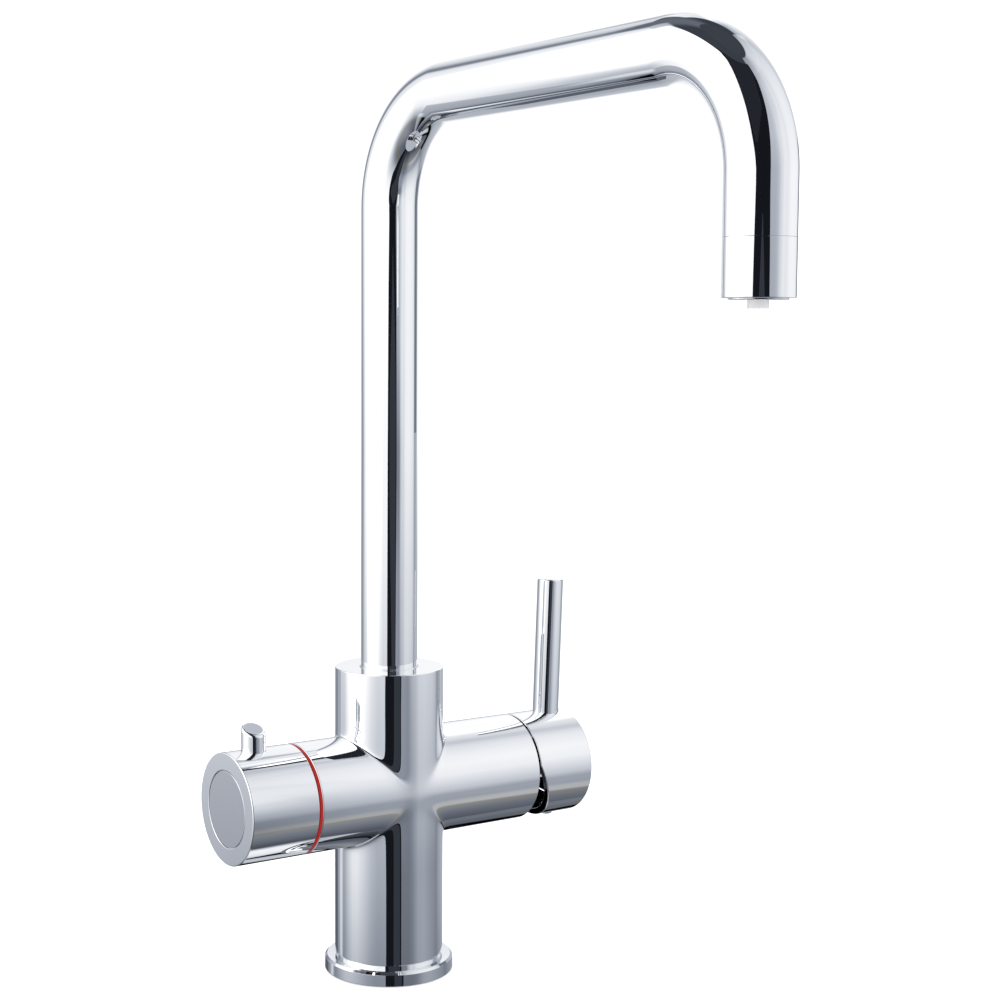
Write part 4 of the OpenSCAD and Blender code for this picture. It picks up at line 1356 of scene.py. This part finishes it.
@dataclass
class Studio:
    """A white floor, a curved wall of soft lights that only reflections see, and the camera."""

    camera_place: tuple[float, float, float] = (-0.431137, -0.681997, 0.285857)
    camera_heading: float = math.radians(57.37)
    camera_pitch: float = math.radians(5.402)
    camera_roll: float = math.radians(0.129)
    focal_pixels: float = 1848.36
    image_size: float = 1000.0
    centre_x: float = 400.0
    sensor: float = 36.0
    floor_size: float = 12.0
    floor_level: float = -0.3 * MM
    floor_glow: float = 0.3
    surround: float = 1.3
    wall_radius: float = 0.52
    wall_span: tuple[float, float] = (-1.3, 2.1)
    turn_span: tuple[float, float] = (-98.0, 262.0)
    peak: float = 2.6
    ground: float = 0.5
    ceiling: float = 0.055
    plain_band: Stops = ((-0.46, 0), (-0.42, 1), (-0.26, 1), (-0.22, 0))
    tint_levels: tuple[float, ...] = (0, 0.1, 0.3, 0.6, 0.9, 1.1, 2.6)
    flag_rows: int = 60
    flag_columns: int = 24

    def camera(self) -> None:
        """Sets the camera where the photograph was taken from."""
        data = bpy.data.cameras.new("camera")
        data.sensor_width = self.sensor
        data.lens = self.focal_pixels / self.image_size * self.sensor
        data.shift_x = (self.image_size / 2 - self.centre_x) / self.image_size
        data.clip_start, data.clip_end = 0.01, 50
        level = Vector((math.cos(self.camera_heading), math.sin(self.camera_heading), 0))
        ahead = level * math.cos(self.camera_pitch) - UP * math.sin(self.camera_pitch)
        right = ahead.cross(UP).normalized()
        above = right.cross(ahead)
        turn, rise = math.cos(self.camera_roll), math.sin(self.camera_roll)
        columns = (right * turn + above * rise, above * turn - right * rise, -ahead)
        made = new_object("camera", data)
        made.matrix_world = Matrix.Translation(self.camera_place) @ Matrix(columns).transposed().to_4x4()
        bpy.context.scene.camera = made

    @staticmethod
    def cool(level: float) -> tuple[float, float, float]:
        """A brightness as a colour, cooler the darker it is."""
        chill = max(0.0, min(1.0, 1.1 - level)) ** 1.3
        return level * (1 - 0.14 * chill), level * (1 - 0.03 * chill), level * (1 + 0.18 * chill) + 0.002

    def reflected(self, card: Piece, level: float | None = None) -> tuple[Tree, Node]:
        """Makes an object a glowing part of the stage, which only reflections see.

        Args:
            card: The object.
            level: How bright it is, where it is plain.

        Returns:
            The tree of its material and the emission in it.
        """
        for ray in ("camera", "diffuse", "shadow", "transmission", "volume_scatter"):
            setattr(card, f"visible_{ray}", False)
        made = bpy.data.materials.new(card.name)
        made.use_nodes = True
        tree = made.node_tree
        tree.nodes.clear()
        emission = add_node(tree, "ShaderNodeEmission")
        add_node(tree, "ShaderNodeOutputMaterial", {"Surface": emission})
        if level is not None:
            feed(tree, emission, {"Color": (*self.cool(level), 1)})
        card.data.materials.append(made)
        return tree, emission

    @staticmethod
    def profile(
        tree: Tree, value: Node, stops: Stops, span: tuple[float, float], scale: float = 1
    ) -> Node:
        """Adds a grey ramp.

        Args:
            tree: The material's tree.
            value: What it reads, from 0 to 1 over the span.
            stops: Its stops, each a place in the span and a level.
            span: What the places run from and to.
            scale: What the levels are divided by.

        Returns:
            The ramp.
        """
        start, end = span
        return ramp(tree, value, [
            ((place - start) / (end - start), (level / scale,) * 3) for place, level in stops
        ])

    def light_wall(self, card: Piece) -> None:
        """Gives the wall its material: the sum of its lights, on object coordinates.

        Args:
            card: The wall.
        """
        tree, emission = self.reflected(card)
        middle_turn = sum(self.turn_span) / 2
        place = add_node(tree, "ShaderNodeTexCoord").outputs["Object"]
        around = add_node(tree, "ShaderNodeVectorRotate", {
            "Vector": place, "Angle": -math.radians(middle_turn),
        }, rotation_type="Z_AXIS")
        split = add_node(tree, "ShaderNodeSeparateXYZ", {"Vector": around}).outputs
        angle = add_node(tree, "ShaderNodeMath", {0: split["Y"], 1: split["X"]}, operation="ARCTAN2")
        turn, rise = (
            add_node(tree, "ShaderNodeMapRange", {"Value": value, "From Min": start, "From Max": end})
            for value, (start, end) in ((angle, (-math.pi, math.pi)), (split["Z"], self.wall_span))
        )
        total: Node | None = None
        for glow in GLOWS:
            lit = add_node(tree, "ShaderNodeMath", {
                0: self.profile(tree, turn, glow.around, self.turn_span),
                1: self.profile(tree, rise, glow.up, self.wall_span, self.peak),
            }, operation="MULTIPLY")
            total = add_node(tree, "ShaderNodeMath", {0: total, 1: lit}, operation="ADD") if total else lit
        tint = ramp(tree, total, [
            (level / self.peak, [channel / self.peak for channel in self.cool(level)])
            for level in self.tint_levels
        ])
        mixed = add_node(tree, "ShaderNodeMix", {
            "Factor": self.profile(tree, rise, self.plain_band, self.wall_span), "A": tint, "B": total,
        }, data_type="RGBA")
        feed(tree, emission, {"Color": mixed.outputs["Result"], "Strength": self.peak})

    def wall(self) -> None:
        """Builds the curved wall round the tap, with its ground."""
        start, end = self.wall_span
        shape = [(start, self.wall_radius), (end, self.wall_radius)]
        self.light_wall(turned("studio_wall", SWIVEL, shape, closed=False, count=360))
        shape = [(start, 0), (start, self.wall_radius)]
        self.reflected(turned("studio_ground", SWIVEL, shape, closed=False, count=90), self.ground)

    @staticmethod
    def between(stops: Stops, place: float) -> float:
        """Reads a line of stops.

        Args:
            stops: The stops, each a place and a value.
            place: Where it is read.

        Returns:
            The value there.
        """
        for (start, first), (end, second) in zip(stops, stops[1:]):
            if start <= place <= end:
                return first + (second - first) * (place - start) / (end - start)
        return stops[0][1] if place < stops[0][0] else stops[-1][1]

    def hang(self, name: str, flag: Flag) -> None:
        """Hangs a flag before the wall.

        Args:
            name: Its name.
            flag: The flag.
        """
        start, end = flag.left[0][0], flag.left[-1][0]
        radius, width = self.wall_radius - flag.gap, self.flag_columns + 1
        spots = []
        for row in range(self.flag_rows + 1):
            height = start + (end - start) * row / self.flag_rows
            left, right = self.between(flag.left, height), self.between(flag.right, height)
            for column in range(width):
                turn = math.radians(left + (right - left) * column / self.flag_columns)
                spots.append((radius * math.cos(turn), radius * math.sin(turn), height))
        corners = [row * width + column for row in range(self.flag_rows) for column in range(width - 1)]
        faces = [(spot, spot + 1, spot + 1 + width, spot + width) for spot in corners]
        self.reflected(plain(name, spots, faces=faces), flag.level)

    def floor(self) -> None:
        """Builds the white floor, which reflections don't see."""
        half, level = self.floor_size / 2, self.floor_level
        made = plain("studio_floor", [
            (-half, -half, level), (half, -half, level), (half, half, level), (-half, half, level),
        ], faces=[(0, 1, 2, 3)])
        paint = bpy.data.materials.new("studio_floor")
        paint.use_nodes = True
        feed(paint.node_tree, paint.node_tree.nodes["Principled BSDF"], {
            "Base Color": (0.95, 0.95, 0.95, 1), "Roughness": 0.9, "Specular IOR Level": 0,
            "Emission Color": (1, 1, 1, 1), "Emission Strength": self.floor_glow,
        })
        made.data.materials.append(paint)
        made.visible_glossy = False

    def lights(self) -> None:
        """Lights the scene evenly: a white surround, dark for reflections that miss the wall."""
        world = bpy.data.worlds.new("studio")
        bpy.context.scene.world = world
        world.use_nodes = True
        tree = world.node_tree
        surround = tree.nodes["Background"]
        feed(tree, surround, {"Color": (1, 1, 1, 1), "Strength": self.surround})
        ceiling = add_node(tree, "ShaderNodeBackground", {"Color": (*self.cool(self.ceiling), 1)})
        glossy = add_node(tree, "ShaderNodeLightPath").outputs["Is Glossy Ray"]
        mix = add_node(tree, "ShaderNodeMixShader", {"Fac": glossy, 1: surround, 2: ceiling})
        feed(tree, tree.nodes["World Output"], {"Surface": mix})

    def colours(self) -> None:
        """Shows plain white as plain white."""
        view = bpy.context.scene.view_settings
        view.view_transform, view.look, view.exposure, view.gamma = "Standard", "None", 0, 1

    def build(self) -> None:
        """Sets up the studio."""
        self.camera()
        self.floor()
        self.wall()
        for name, flag in FLAGS.items():
            self.hang(name, flag)
        self.lights()
        self.colours()


def main() -> None:
    """Builds the whole scene."""
    logging.basicConfig(level=logging.INFO, format="%(message)s")
    Studio().build()
    InnerWorks().build()
    for assembly in (Casting(), Spout(), Nozzle(), BoilingHandle(), MixerHandle()):
        assembly.build()
        LOG.info("%s built", type(assembly).__name__)


if __name__ == "__main__":
    main()
